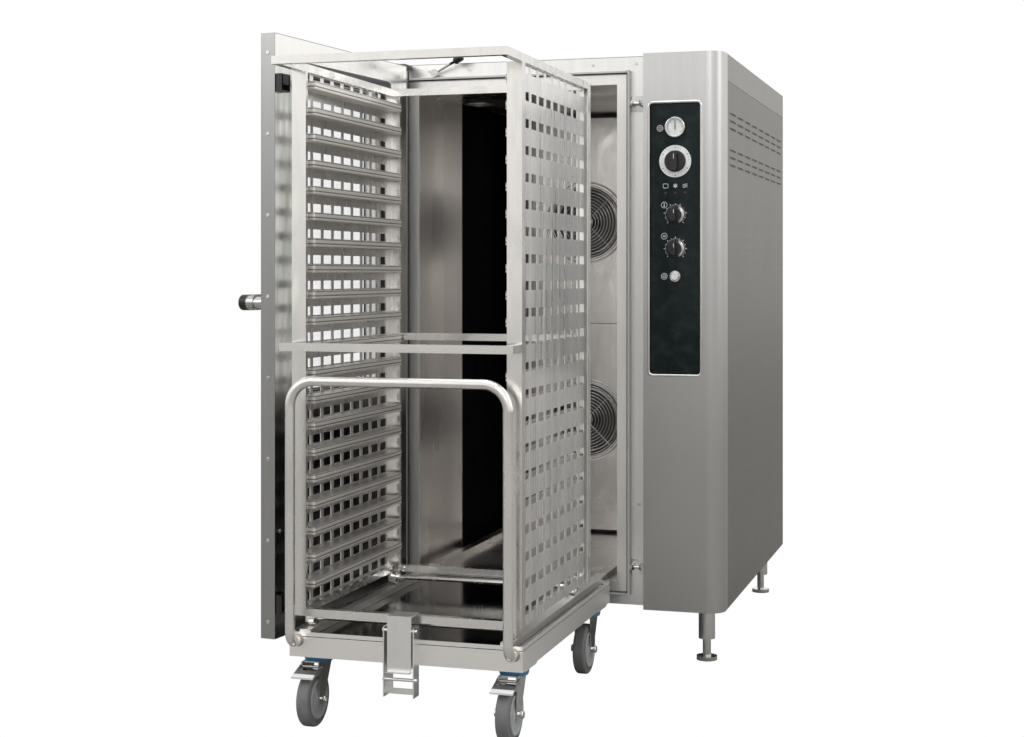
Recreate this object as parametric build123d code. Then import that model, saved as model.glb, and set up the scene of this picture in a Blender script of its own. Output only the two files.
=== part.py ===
from build123d import *
import os
from math import atan2, cos, degrees, hypot, pi, radians, sin

os.makedirs("parts", exist_ok=True)

# Roll-in convection oven with its transfer trolley and rack, doorway side forward.
# X is to the right, Y runs into the oven, Z is up and the ground is at Z = 0.
# While it is built, X = 0 is the middle of the doorway and Y = 0 the face around it.

# Sheet, clearances and small fits
SHEET = 2.0
RUN_GAP = 0.3            # between a moving piece and what it passes
PIN_GAP = 0.05           # radial clearance of a pin or shaft in its bore

# Oven body
BODY_BOTTOM = 162.0      # underside above the ground
BODY_HEIGHT = 1611.0
BODY_DEPTH = 1218.0
LEFT_MARGIN = 65.0       # cavity wall to the outside on the left
COLUMN_WIDTH = 232.0
COLUMN_PROUD = 63.0      # how far the control column stands forward
COLUMN_RETURN = 20.0     # how far its folded sides run back
COLUMN_ROUND = 49.0
STRIP_WIDTH = 60.0       # plain strip between the doorway flange and the column
TOP_BAND = 78.0          # skirt of the top cover
SEAM = 1.0

# Cavity
CAVITY_FLOOR_RISE = 70.0     # above the underside of the body
CAVITY_TOP_MARGIN = 82.0     # below the top of the body
RACK_SIDE_GAP = 10.0     # rack to the cavity wall on each side
REAR_SPACE = 243.0       # behind the fan chamber, for motors and wiring
FAN_CHAMBER = 140.0
FLANGE_WIDTH = 30.0
FLANGE_PROUD = 10.0
GASKET_WIDTH = 10.0
GASKET_NIP = 0.5         # drawn clear of the closed door by this
GASKET_ROUND = 3.0
INSULATION = 42.0
RAIL_WIDTH = 30.0
RAIL_HEIGHT = 18.0

# Base frame and legs
FRAME_HEIGHT = 40.0
FRAME_WIDTH = 40.0
FRAME_WALL = 3.0
LEG_INSET = 70.0
LEG_RADIUS = 24.0
LEG_SLEEVE = 95.0
LEG_PLATE = 80.0
LEG_PLATE_THICK = 4.0
LEG_STEM_RADIUS = 12.0
LEG_STEM_INSIDE = 60.0
FOOT_RADIUS = 30.0
FOOT_HEIGHT = 12.0

# Fan baffle, fans, heaters and motors
BAFFLE_SIDE_GAP = 35.0
BAFFLE_BOTTOM_GAP = 13.0
BAFFLE_TOP_GAP = 16.0
BAFFLE_POST_RADIUS = 7.0
BAFFLE_POST_INSET = 28.0
FAN_RISE = 394.0         # lower fan above the cavity floor
FAN_DROP = 378.0         # upper fan below the cavity top
INTAKE_RIM = 13.0        # intake hole outside the fan's eye
GUARD_RIM = 15.0         # guard outside the intake hole
GUARD_WIRE = 1.5
GUARD_RIM_WIRE = 3.0
GUARD_EYE = 14.0         # innermost wire
GUARD_RINGS = 12
GUARD_SPOKES = 2
FAN_RADIUS = 160.0
FAN_EYE_SHARE = 0.7      # of the fan's radius
FAN_WIDTH = 75.0
FAN_FRONT_GAP = 16.0
FAN_BLADES = 20
FAN_BLADE_LENGTH = 52.0
FAN_BLADE_LEAN = 32.0
FAN_PLATE = 3.0
FAN_HUB_RADIUS = 30.0
FAN_HUB_LENGTH = 34.0
SHAFT_RADIUS = 10.0
SHAFT_HOLE_RADIUS = 15.0
HEATER_GAP = 35.0        # heater coil outside the fan
HEATER_TUBE = 4.25
HEATER_COILS = 3
HEATER_PITCH = 22.0
HEATER_CLIP_WIDTH = 14.0
HEATER_CLIP_THICK = 4.0
MOTOR_PLATE = 200.0
MOTOR_PLATE_THICK = 4.0
MOTOR_NECK_RADIUS = 38.0
MOTOR_NECK = 60.0
MOTOR_RADIUS = 75.0
MOTOR_LENGTH = 130.0
SHAFT_IN_MOTOR = 110.0

# Louvres in the right side panel
LOUVRE_COUNT = 8
LOUVRE_HEIGHT = 7.0
LOUVRE_MARGIN = 62.0
LOUVRE_BRIDGE = 42.0
LOUVRE_ROW_PITCH = 22.0
LOUVRE_ROWS = 3
LOUVRE_DROPS = (168.0, 275.0)    # first row of each group below the top

# Control panel; its controls are placed by their distance below the top of the glass
GLASS_WIDTH = 153.0
GLASS_HEIGHT = 787.0
GLASS_LEFT = 16.0        # from the column's left edge to the glass opening
GLASS_DROP = 144.0       # below the top of the body
GLASS_ROUND = 15.0
GLASS_RECESS = 9.0
GLASS_THICK = 4.0
GAUGE_DROP = 72.0
GAUGE_RADIUS = 29.0
GAUGE_BARREL = 25.0
GAUGE_PROUD = 8.0
GAUGE_DEPTH = 44.0
GAUGE_RIM = 3.0
GAUGE_DIAL_DEPTH = 5.0
NEEDLE_LENGTH = 20.0
NEEDLE_TAIL = 7.0
NEEDLE_WIDTH = 2.4
NEEDLE_THICK = 1.0
NEEDLE_PIN = 1.5
NEEDLE_PIN_LENGTH = 11.0
NEEDLE_RISE = 2.0        # front of the needle over the dial
TIMER_DROP = 170.0
TIMER_DIAL_RADIUS = 46.5
TIMER_DIAL_BORE = 24.0
TIMER_DIAL_THICK = 3.0
TIMER_KNOB_RADIUS = 31.0
TIMER_KNOB_HEIGHT = 9.0
TIMER_GRIP_HEIGHT = 14.0
TIMER_GRIP_WIDTH = 18.0
TIMER_SKIRT = 2.0
TIMER_SKIRT_REACH = 3.0  # skirt outside the knob
LAMP_DROP = 262.0
LAMP_PITCH = 28.5
LAMP_RADIUS = 4.0
LAMP_PROUD = 3.0
LAMP_DEPTH = 20.0
TEMPERATURE_DROP = 324.0
STEAM_DROP = 422.0
KNOB_SKIRT_RADIUS = 26.0
KNOB_SKIRT = 3.0
KNOB_RADIUS = 19.0
KNOB_HEIGHT = 10.0
KNOB_GRIP_HEIGHT = 14.0
KNOB_GRIP_WIDTH = 9.0
KNOB_GRIP_INSET = 1.0    # ends of the grip inside the knob's edge
KNOB_SHAFT = 4.0
KNOB_SHAFT_LENGTH = 30.0
BUTTON_DROP = 502.0
BUTTON_RADIUS = 12.0
BUTTON_LENGTH = 12.0
BUTTON_STEM = 5.0
BUTTON_STEM_LENGTH = 24.0
BUTTON_TRAVEL = 4.0
BUTTON_COLLAR = 15.0
BUTTON_COLLAR_PROUD = 6.0
SWITCH_BODY = 40.0
TIMER_BODY = 60.0

# Electrical gear on its plate inside the column
GEAR_PLATE_DEPTH = 420.0
GEAR_PLATE_HEIGHT = 520.0
GEAR_PLATE_Y = 120.0
GEAR_PLATE_Z = 320.0
CONTACTOR = (85.0, 45.0, 75.0)
CONTACTOR_COUNT = 3
CONTACTOR_PITCH = 62.0
TRANSFORMER = (80.0, 90.0, 75.0)
TERMINAL_BLOCK = (45.0, 240.0, 30.0)
GEAR_MARGIN = 40.0

# Vent duct with its damper, and the cavity lamps
VENT_FROM_LEFT = 118.0
VENT_Y = 420.0
VENT_RADIUS = 40.0
VENT_WALL = 1.5
VENT_RISE = 47.0         # above the top cover
VENT_COLLAR_RADIUS = 60.0
VENT_COLLAR_THICK = 3.0
VENT_FLANGE_RADIUS = 50.0  # under the cavity's roof, clear of its left wall
VENT_SHAFT_DROP = 29.0   # below the top of the body
VENT_SHAFT_RADIUS = 5.0
FLAP_GAP = 1.0
FLAP_THICK = 2.0
LEVER_BOSS_RADIUS = 12.0
LEVER_BOSS_LENGTH = 22.0
LEVER_REACH = (83.0, -25.0, 37.0)
LEVER_ROD_RADIUS = 4.0
LEVER_KNOB_RADIUS = 11.0
LEVER_KNOB_LENGTH = 32.0
CAVITY_LAMP_Y = 180.0
CAVITY_LAMP_RISE = 368.0
CAVITY_LAMP_DROP = 241.0
CAVITY_LAMP_RADIUS = 42.0
CAVITY_LAMP_RIM = 50.0
CAVITY_LAMP_PROUD = 3.0
CAVITY_LAMP_DEPTH = 36.0

# Door, hung on the left and standing open
DOOR_OPEN = 96.2         # degrees from closed in the pose that is modelled
DOOR_THICK = 42.0
DOOR_GAP = 4.5           # to the column when closed
DOOR_BOTTOM_GAP = 21.0   # above the underside of the body
DOOR_TOP_GAP = 10.5
HINGE_FROM_EDGE = 10.0
HINGE_FROM_FACE = 8.0
HINGE_PIN_RADIUS = 4.5
HINGE_PIN_LENGTH = 42.0
HINGE_PLATE = 6.0
HINGE_PLATE_WIDTH = 40.0
HINGE_CAP_RADIUS = 7.0
HINGE_CAP = 2.0
HINGE_PLAY = 1.0         # door to the hinge plates above and below it
HINGE_BUSH = 22.0
HINGE_BUSH_CAP = 4.0     # solid metal past the end of the pin
HINGE_RELIEF = 12.0      # slanted inner corner that clears the gasket as the door turns
WINDOW_LEFT = 200.0      # from the door's hinge edge
WINDOW_RIGHT = 140.5     # from the door's free edge
WINDOW_BOTTOM = 632.0
WINDOW_TOP = 97.5
WINDOW_RIM = 12.0
PANE_SEAT = 6.0
OUTER_PANE = 6.0
INNER_PANE = 5.0
PANE_SETBACK = 2.0
DOOR_SCREW_COUNT = 8
DOOR_SCREW_LOWEST = 44.0     # above the door's lower edge
DOOR_SCREW_HIGHEST = 51.5    # below its upper edge
SCREW_HEAD_RADIUS = 5.0
SCREW_HEAD = 1.5
SCREW_RADIUS = 2.0
SCREW_LENGTH = 14.0
HEADER_SCREW_DROP = 21.0     # below the top of the body
HEADER_SCREWS = (96.0, 225.0, 352.0, 610.0, 741.0)   # from the body's left side
STRIP_SCREW_FROM_COLUMN = 26.0
STRIP_SCREW_DROP = 4.0       # below the door's striker
LATCH_RISE = 92.0
LATCH_DROP = 129.5
LATCH_BLOCK = (48.0, 46.0)   # width and height
LATCH_BACK_GAP = 2.5
LATCH_BLOCK_EDGE = 2.0   # block to the door's free edge
LATCH_WALL = 3.0
LATCH_TOOTH = (6.0, 5.0) # depth, and how far it reaches below the keeper's pin axis
LATCH_NECK = 12.0
LATCH_TRAVEL = 12.0
LATCH_ROD_RADIUS = 5.0
LATCH_ROUND = 3.0
LATCH_SLOT_PLAY = 1.0
LATCH_CHANNEL_END = 20.0     # of the rod's channel, from the door's upper and lower edge
HANDLE_RISE = 875.0      # above the door's lower edge
HANDLE_FROM_EDGE = 60.5
ESCUTCHEON_RADIUS = 50.0
ESCUTCHEON_THICK = 5.0
HANDLE_NECK_RADIUS = 15.0
HANDLE_NECK = 48.0
HANDLE_COLLAR_RADIUS = 19.0
HANDLE_COLLAR = 20.0
HANDLE_GRIP = (150.0, 25.0, 42.0)
HANDLE_SPINDLE_RADIUS = 7.0
HANDLE_CRANK_RADIUS = 16.0
HANDLE_CRANK = 5.0
STRIKER_RADIUS = 7.0
STRIKER_HEIGHT = 8.0
STRIKER_RISE = 279.0
STRIKER_FROM_EDGE = 21.5
KEEPER_PLATE = (38.0, 2.4, 46.0)
KEEPER_EAR = 4.0
KEEPER_EAR_HEIGHT = 12.0
KEEPER_SETBACK = 1.5     # behind the front of the gasket
KEEPER_PIN_RADIUS = 4.0

# Rack that rolls from the trolley into the cavity
RACK_WIDTH = 600.0
RACK_LENGTH = 668.0
RACK_SETBACK = 6.0       # behind the trolley's front
RACK_TOP_GAP = 27.0      # under the cavity top once it is inside
RACK_LIFT = 32.0         # frame above the rails
RACK_TUBE = 20.0
RACK_BOTTOM_TUBE = 18.0
RACK_TOP_REACH = 120.0   # top frame ahead of the front posts
RACK_BAR_REACH = 74.0    # pull bar ahead of the front posts
RACK_BAR_RISE = 673.0    # pull bar above the rack's lower edge
POST_WIDTH = 38.0
POST_DEPTH = 30.0
POST_LIP = 12.0
POST_SHEET = 1.5
PANEL_INSET = 8.0
PANEL_SHEET = 2.0
LEVELS = 20
FIRST_ROW_RISE = 34.0    # lowest row of holes above the rack's lower edge
LAST_ROW_DROP = 12.0     # highest row below the top frame
HOLE_COLUMNS = 9
HOLE_MARGIN = 32.5
HOLE_BRIDGE = 18.0
HOLE_HEIGHT = 22.0
LEDGE_DROP = 3.0         # hole's lower edge to the ledge's top
LEDGE_HEIGHT = 20.0
LEDGE_REACH = 40.0
LEDGE_SHEET = 1.2
ROLLER_RADIUS = 20.0
ROLLER_WIDTH = 20.0
ROLLER_INSET = 32.0      # axle from the end of the posts
AXLE_RADIUS = 6.0
ROLLER_PLATE = 4.0
ROLLER_PLATE_LENGTH = 34.0
ROLLER_FROM_SIDE = 38.0

# Trolley
BASE_MARGIN = 3.5        # base wider than the rack on each side
BASE_TO_OVEN = 78.0
BASE_LENGTH = 885.0
BASE_DEPTH = 51.0        # underside below its floor
BASE_LIP = 11.0          # rim above the base's floor
BASE_SHEET = 2.0
CORNER_PLATE = 110.0
CORNER_PLATE_THICK = 3.0
HANDLE_TUBE_RADIUS = 12.5
HANDLE_FROM_SIDE = 22.5
HANDLE_STANDOFF = 46.0
HANDLE_HEIGHT = 690.0    # above the underside of the base
HANDLE_FOOT_RISE = 41.0
HANDLE_BEND = 62.0
HANDLE_FOOT_BEND = 30.0
BRACKET_WIDTH = 80.0
BRACKET_DEPTH = 36.0
BRACKET_SHEET = 3.0
BRACKET_TOP_GAP = 4.0    # under the rack's lower edge
BRACKET_DROP = 73.0      # below the underside of the base
BRACKET_WINDOW = (54.0, 50.0)
BRACKET_WINDOW_SILL = 14.0
DOCK_PIN_RADIUS = 4.0
DOCK_PIN_DROP = 14.0     # below the rack's lower edge
DOCK_PIN_FROM_FRONT = 12.0
DOCK_PIN_END = 5.0
LOWER_PIN_RISE = 41.0    # above the bracket's lower edge
HOOK_WIDTH = 62.0
HOOK_THICK = 3.0
HOOK_GAP = 1.0
HOOK_REACH = 22.0        # past the front of the rack's bottom bar
LEVER_PLATE = 3.0
LEVER_PEDAL_RISE = 60.0
PEDAL_REACH = 14.0

# Casters
CASTER_HEAD = 41.0       # top of the wheel to the underside of the base
WHEEL_WIDTH = 34.0
TREAD_ROUND = 8.0
CASTER_TRAIL = 40.0
CASTER_FROM_SIDE = 45.5
CASTER_INSET = 80.0      # swivel axis from the ends of the base
CASTER_PLATE = 90.0
CASTER_PLATE_THICK = 4.0
SWIVEL_PIN = 8.0
SWIVEL_RADIUS = 32.0
SWIVEL_HEIGHT = 14.0
FORK_PLATE = 3.0
FORK_GAP = 4.0           # wheel to fork plates
FORK_WIDTH = 34.0
FORK_TOP_SHARE = 0.9     # of the swivel's radius that the crown reaches back
FORK_TIP_SHARE = 0.7     # width of the fork's tip
CASTER_AXLE = 6.0
AXLE_END = 6.0
HUB_SHARE = 2.2          # hub radius over axle radius
BRAKE_ARM = 62.0
BRAKE_THICK = 5.0
BRAKE_DROP = 13.0        # pedal pivot below the fork's crown
BRAKE_PIN = 4.0
BRAKE_SIDE_GAP = 3.0     # middle of a pedal arm outside the fork
BRAKE_ARM_THICK = 3.0
BRAKE_ARM_MARGIN = 2.0   # arm around its pin
BRAKE_ARM_SHARE = 0.55   # of the pedal's length that the arms run
BRAKE_PLATE_SHARE = 0.45 # of it that is ahead of the plate
BRAKE_SLANT = 18.0

# Services on the rear panel
GLAND_RADIUS = 16.0
GLAND_LENGTH = 30.0
GLAND_Z = 420.0
GLAND_FROM_RIGHT = 112.0
INLET_RADIUS = 13.0
INLET_LENGTH = 26.0
INLET_Z = 340.0
SERVICE_FLANGE = 5.0     # flange outside a fitting
SERVICE_FLANGE_THICK = 4.0
SERVICE_WALL = 5.0
SERVICE_HOLE_INSET = 3.0 # hole in the sheet inside the fitting

# Places that follow from the driving sizes
half_cavity = RACK_WIDTH / 2 + RACK_SIDE_GAP
cavity_floor = BODY_BOTTOM + CAVITY_FLOOR_RISE
body_top = BODY_BOTTOM + BODY_HEIGHT
cavity_top = body_top - CAVITY_TOP_MARGIN
baffle_y = BODY_DEPTH - REAR_SPACE - FAN_CHAMBER
chamber_back = baffle_y + FAN_CHAMBER
body_left = -half_cavity - LEFT_MARGIN
column_left = half_cavity + FLANGE_WIDTH + STRIP_WIDTH
body_right = column_left + COLUMN_WIDTH
seam_z = body_top - TOP_BAND
frame_top = BODY_BOTTOM + FRAME_HEIGHT
insulation_back = chamber_back + SHEET + INSULATION
gasket_proud = COLUMN_PROUD - DOOR_THICK - GASKET_NIP
keeper_proud = gasket_proud - KEEPER_SETBACK
fan_z = {"lower": cavity_floor + FAN_RISE, "upper": cavity_top - FAN_DROP}
fan_y = baffle_y + SHEET + FAN_FRONT_GAP
fan_eye = FAN_RADIUS * FAN_EYE_SHARE
intake_radius = fan_eye + INTAKE_RIM
guard_radius = intake_radius + GUARD_RIM
guard_pitch = (guard_radius - GUARD_EYE) / GUARD_RINGS
heater_radius = FAN_RADIUS + HEATER_GAP
baffle_seam_z = (cavity_floor + cavity_top) / 2
louvre_pitch = (BODY_DEPTH - 2 * LOUVRE_MARGIN + LOUVRE_BRIDGE) / LOUVRE_COUNT
glass_x0 = column_left + GLASS_LEFT
glass_x1 = glass_x0 + GLASS_WIDTH
control_x = (glass_x0 + glass_x1) / 2
glass_top_z = body_top - GLASS_DROP
glass_bottom_z = glass_top_z - GLASS_HEIGHT
gauge_z = glass_top_z - GAUGE_DROP
timer_z = glass_top_z - TIMER_DROP
lamp_z = glass_top_z - LAMP_DROP
temperature_z = glass_top_z - TEMPERATURE_DROP
steam_z = glass_top_z - STEAM_DROP
button_z = glass_top_z - BUTTON_DROP
glass_face = -COLUMN_PROUD + GLASS_RECESS
glass_back = glass_face + GLASS_THICK
vent_x = body_left + VENT_FROM_LEFT
vent_shaft_z = body_top - VENT_SHAFT_DROP
cavity_lamp_z = (cavity_floor + CAVITY_LAMP_RISE, cavity_top - CAVITY_LAMP_DROP)
gland_x = body_right - GLAND_FROM_RIGHT
rail_top = cavity_floor + RAIL_HEIGHT
axle_z = rail_top + ROLLER_RADIUS + RUN_GAP
base_back_y = -BASE_TO_OVEN
base_front_y = base_back_y - BASE_LENGTH
base_half = RACK_WIDTH / 2 + BASE_MARGIN
base_bottom = cavity_floor - BASE_DEPTH
rack_front_y = base_front_y + RACK_SETBACK
rack_back_y = rack_front_y + RACK_LENGTH
rack_bottom = rail_top + RACK_LIFT
rack_top = cavity_top - RACK_TOP_GAP
rack_bar_z = rack_bottom + RACK_BAR_RISE
first_row_z = rack_bottom + FIRST_ROW_RISE
level_pitch = (rack_top - RACK_TUBE - LAST_ROW_DROP - first_row_z) / LEVELS
hole_pitch = (RACK_LENGTH - 2 * HOLE_MARGIN) / HOLE_COLUMNS
roller_x = RACK_WIDTH / 2 - ROLLER_FROM_SIDE
caster_x = base_half - CASTER_FROM_SIDE
crown_z = base_bottom - CASTER_PLATE_THICK - SWIVEL_HEIGHT
wheel_radius = (base_bottom - CASTER_HEAD) / 2
bracket_bottom = base_bottom - BRACKET_DROP
lever_pedal_z = bracket_bottom + LEVER_PEDAL_RISE
dock_pin_z = rack_bottom - DOCK_PIN_DROP
door_left = body_left
door_right = column_left - DOOR_GAP
door_front = -COLUMN_PROUD
door_back = door_front + DOOR_THICK
door_bottom = BODY_BOTTOM + DOOR_BOTTOM_GAP
door_top = body_top - DOOR_TOP_GAP
hinge_x = door_left + HINGE_FROM_EDGE
hinge_y = door_front + HINGE_FROM_FACE
window_x0 = door_left + WINDOW_LEFT
window_x1 = door_right - WINDOW_RIGHT
window_bottom_z = door_bottom + WINDOW_BOTTOM
window_top_z = door_top - WINDOW_TOP
latch_z = {"lower": door_bottom + LATCH_RISE, "upper": door_top - LATCH_DROP}
latch_x = door_right - LATCH_BLOCK_EDGE - LATCH_BLOCK[0] / 2
keeper_x0 = latch_x - KEEPER_PLATE[0] / 2
keeper_x1 = latch_x + KEEPER_PLATE[0] / 2
handle_x = door_right - HANDLE_FROM_EDGE
handle_z = door_bottom + HANDLE_RISE
striker_z = door_bottom + STRIKER_RISE
rod_y = (door_front + door_back) / 2
nodes = {}


# Small helpers
def block(x0, x1, y0, y1, z0, z1):
    """Box between two opposite corners."""
    return Pos((x0 + x1) / 2, (y0 + y1) / 2, (z0 + z1) / 2) * Box(x1 - x0, y1 - y0, z1 - z0)


def rod(start, direction, radius, length):
    """Round bar that begins at start and runs along direction."""
    bar = Cylinder(radius, length, align=(Align.CENTER, Align.CENTER, Align.MIN))
    return Plane(origin=start, z_dir=direction) * bar


def channel(x0, x1, y0, y1, z0, z1, wall):
    """Folded channel, open underneath."""
    inside = block(x0 + wall, x1 - wall, y0 + wall, y1 - wall, z0 - 1, z1 - wall)
    return block(x0, x1, y0, y1, z0, z1) - inside


def bars_around(x0, x1, z0, z1, rim, y0, y1):
    """Four bars around an upright opening: two of full height, then a lower and an upper one."""
    sides = [block(x, x + rim, y0, y1, z0 - rim, z1 + rim) for x in (x0 - rim, x1)]
    return sides + [block(x0, x1, y0, y1, z, z + rim) for z in (z0 - rim, z1)]


def ring(center, radius, wire):
    """Wire ring that faces along Y."""
    return Plane(origin=center, z_dir=(0, 1, 0)) * Torus(radius, wire)


def fuse(first, *rest):
    """One solid of several that touch or overlap."""
    return first.fuse(*rest) if rest else first


def node(name, *shapes):
    """Keeps every solid of the shapes under one name."""
    nodes[name] = Compound([solid for shape in shapes for solid in shape.solids()])


def swing(shape):
    """Turns a piece of the closed door to where the door stands open."""
    return shape.rotate(Axis((hinge_x, hinge_y, 0), (0, 0, 1)), -DOOR_OPEN)


# Oven body
def base_frame():
    """Ring of folded channels, open underneath, with two more under the cavity's walls."""
    x0, x1 = body_left + SHEET, body_right - SHEET
    y0, y1 = SHEET, BODY_DEPTH - SHEET
    w = FRAME_WIDTH
    bars = [(x0, x1, y0, y0 + w), (x0, x1, y1 - w, y1)]
    for bar_x in (x0, -half_cavity, half_cavity - w, x1 - w):
        bars.append((bar_x, bar_x + w, y0 + w, y1 - w))
    node("base_frame", *[channel(*bar, BODY_BOTTOM, frame_top, FRAME_WALL) for bar in bars])


def legs():
    """Four sleeves under the frame, each with a screwed foot."""
    pieces = []
    for x in (body_left + LEG_INSET, body_right - LEG_INSET):
        for y in (LEG_INSET, BODY_DEPTH - LEG_INSET):
            h = LEG_PLATE / 2
            top = BODY_BOTTOM - LEG_PLATE_THICK
            sleeve = fuse(block(x - h, x + h, y - h, y + h, top, BODY_BOTTOM),
                          rod((x, y, top - LEG_SLEEVE), (0, 0, 1), LEG_RADIUS, LEG_SLEEVE))
            sleeve -= rod((x, y, top - LEG_SLEEVE), (0, 0, 1), LEG_STEM_RADIUS + PIN_GAP, LEG_SLEEVE)
            stem_top = top - LEG_SLEEVE + LEG_STEM_INSIDE
            foot = fuse(rod((x, y, 0), (0, 0, 1), FOOT_RADIUS, FOOT_HEIGHT),
                        rod((x, y, 0), (0, 0, 1), LEG_STEM_RADIUS, stem_top))
            pieces += [sleeve, foot]
    node("legs", *pieces)


def doorway():
    """Face plate around the doorway, its raised flange and the gasket, each of four strips."""
    top = body_top - SHEET
    header = block(-half_cavity, half_cavity, 0, SHEET, cavity_top, top)
    header -= rod((vent_x, -1, vent_shaft_z), (0, 1, 0), VENT_SHAFT_RADIUS + RUN_GAP, SHEET + 2)
    node("front_frame", block(body_left, -half_cavity, 0, SHEET, BODY_BOTTOM, top),
         block(half_cavity, column_left, 0, SHEET, BODY_BOTTOM, top), header,
         block(-half_cavity, half_cavity, 0, SHEET, BODY_BOTTOM, cavity_floor))
    node("cavity_flange", *bars_around(-half_cavity, half_cavity, cavity_floor, cavity_top,
                                       FLANGE_WIDTH, -FLANGE_PROUD, 0))
    seal = bars_around(-half_cavity - FLANGE_WIDTH, half_cavity + FLANGE_WIDTH,
                       cavity_floor - FLANGE_WIDTH, cavity_top + FLANGE_WIDTH,
                       GASKET_WIDTH, -gasket_proud, 0)
    runs = (Axis.Z, Axis.Z, Axis.X, Axis.X)
    node("door_gasket", *[fillet(bar.faces().sort_by(Axis.Y)[0].edges().filter_by(run), GASKET_ROUND)
                          for bar, run in zip(seal, runs)])


def cavity():
    """Steel liner of welded sheets, with the rack's rails on its floor."""
    h, t = half_cavity, SHEET
    back = chamber_back + t
    q = VENT_RADIUS + RUN_GAP
    roof = [(-h - t, vent_x - q, t, back), (vent_x + q, h + t, t, back),
            (vent_x - q, vent_x + q, t, VENT_Y - q), (vent_x - q, vent_x + q, VENT_Y + q, back)]
    roof = [block(*sheet, cavity_top, cavity_top + t) for sheet in roof]
    right = block(h, h + t, t, back, cavity_floor, cavity_top)
    for z in cavity_lamp_z:
        right -= rod((h - 1, CAVITY_LAMP_Y, z), (1, 0, 0), CAVITY_LAMP_RADIUS + RUN_GAP, t + 2)
    rear = block(-h, h, chamber_back, back, cavity_floor, cavity_top)
    for z in fan_z.values():
        rear -= rod((0, chamber_back - 1, z), (0, 1, 0), SHAFT_HOLE_RADIUS, t + 2)
    rails = [block(side * roller_x - RAIL_WIDTH / 2, side * roller_x + RAIL_WIDTH / 2,
                   t, baffle_y - BAFFLE_BOTTOM_GAP, cavity_floor, rail_top) for side in (-1, 1)]
    node("cavity_liner", block(-h - t, h + t, t, back, cavity_floor - t, cavity_floor), *roof,
         block(-h - t, -h, t, back, cavity_floor, cavity_top), right, rear, *rails)


def insulation():
    """Wool slabs around the liner, cut to fit round the duct, the lamps and the motor plates."""
    h, y0, y1 = half_cavity + SHEET, SHEET, insulation_back
    outer, top = h + INSULATION, cavity_top + SHEET + INSULATION
    low, roof, back = cavity_floor - SHEET, cavity_top + SHEET, chamber_back + SHEET
    right = block(h, outer, y0, y1, frame_top, top)
    for z in cavity_lamp_z:
        right -= rod((h - 1, CAVITY_LAMP_Y, z), (1, 0, 0), CAVITY_LAMP_RADIUS + RUN_GAP, INSULATION + 2)
    slabs = [block(-outer, -h, y0, y1, frame_top, top), right, block(-h, h, y0, y1, frame_top, low)]
    q = VENT_RADIUS + RUN_GAP
    slabs += [block(-h, h, y0, VENT_Y - q, roof, top), block(-h, h, VENT_Y + q, y1, roof, top),
              block(-h, vent_x - q, VENT_Y - q, VENT_Y + q, roof, top),
              block(vent_x + q, h, VENT_Y - q, VENT_Y + q, roof, top)]
    m = MOTOR_PLATE / 2
    slabs += [block(-h, -m, back, y1, low, roof), block(m, h, back, y1, low, roof)]
    levels = [low, fan_z["lower"] - m, fan_z["lower"] + m, fan_z["upper"] - m, fan_z["upper"] + m, roof]
    slabs += [block(-m, m, back, y1, z0, z1) for z0, z1 in zip(levels[::2], levels[1::2])]
    node("insulation", *slabs)


def baffle():
    """Upper and lower baffle on posts, each with a round intake and a wire guard."""
    spans = {"lower": (cavity_floor + BAFFLE_BOTTOM_GAP, baffle_seam_z - SEAM),
             "upper": (baffle_seam_z + SEAM, cavity_top - BAFFLE_TOP_GAP)}
    panels, guards = [], []
    half = half_cavity - BAFFLE_SIDE_GAP
    for place, (z0, z1) in spans.items():
        panel = block(-half, half, baffle_y, baffle_y + SHEET, z0, z1)
        panel -= rod((0, baffle_y - 1, fan_z[place]), (0, 1, 0), intake_radius, SHEET + 2)
        posts = [rod((x, baffle_y + SHEET, z), (0, 1, 0), BAFFLE_POST_RADIUS, FAN_CHAMBER - SHEET)
                 for x in (-half + BAFFLE_POST_INSET, half - BAFFLE_POST_INSET)
                 for z in (z0 + BAFFLE_POST_INSET, z1 - BAFFLE_POST_INSET)]
        panels.append(fuse(panel, *posts))
        guards.append(wire_guard(fan_z[place]))
    node("baffle_panels", *panels)
    node("fan_guards", *guards)


def wire_guard(z):
    """Concentric wires on crossed spokes, with the rim wire against the baffle."""
    rim_y = baffle_y - GUARD_RIM_WIRE
    wires = [ring((0, rim_y, z), guard_radius, GUARD_RIM_WIRE)]
    for i in range(1, GUARD_RINGS + 1):
        wires.append(ring((0, rim_y - GUARD_WIRE * 1.6, z), guard_radius - i * guard_pitch, GUARD_WIRE))
    reach = 2 * guard_radius
    for i in range(GUARD_SPOKES):
        a = pi * (i + 0.5) / GUARD_SPOKES
        start = (-guard_radius * cos(a), rim_y, z - guard_radius * sin(a))
        wires.append(rod(start, (cos(a), 0, sin(a)), GUARD_WIRE, reach))
    return fuse(*wires)


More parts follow.
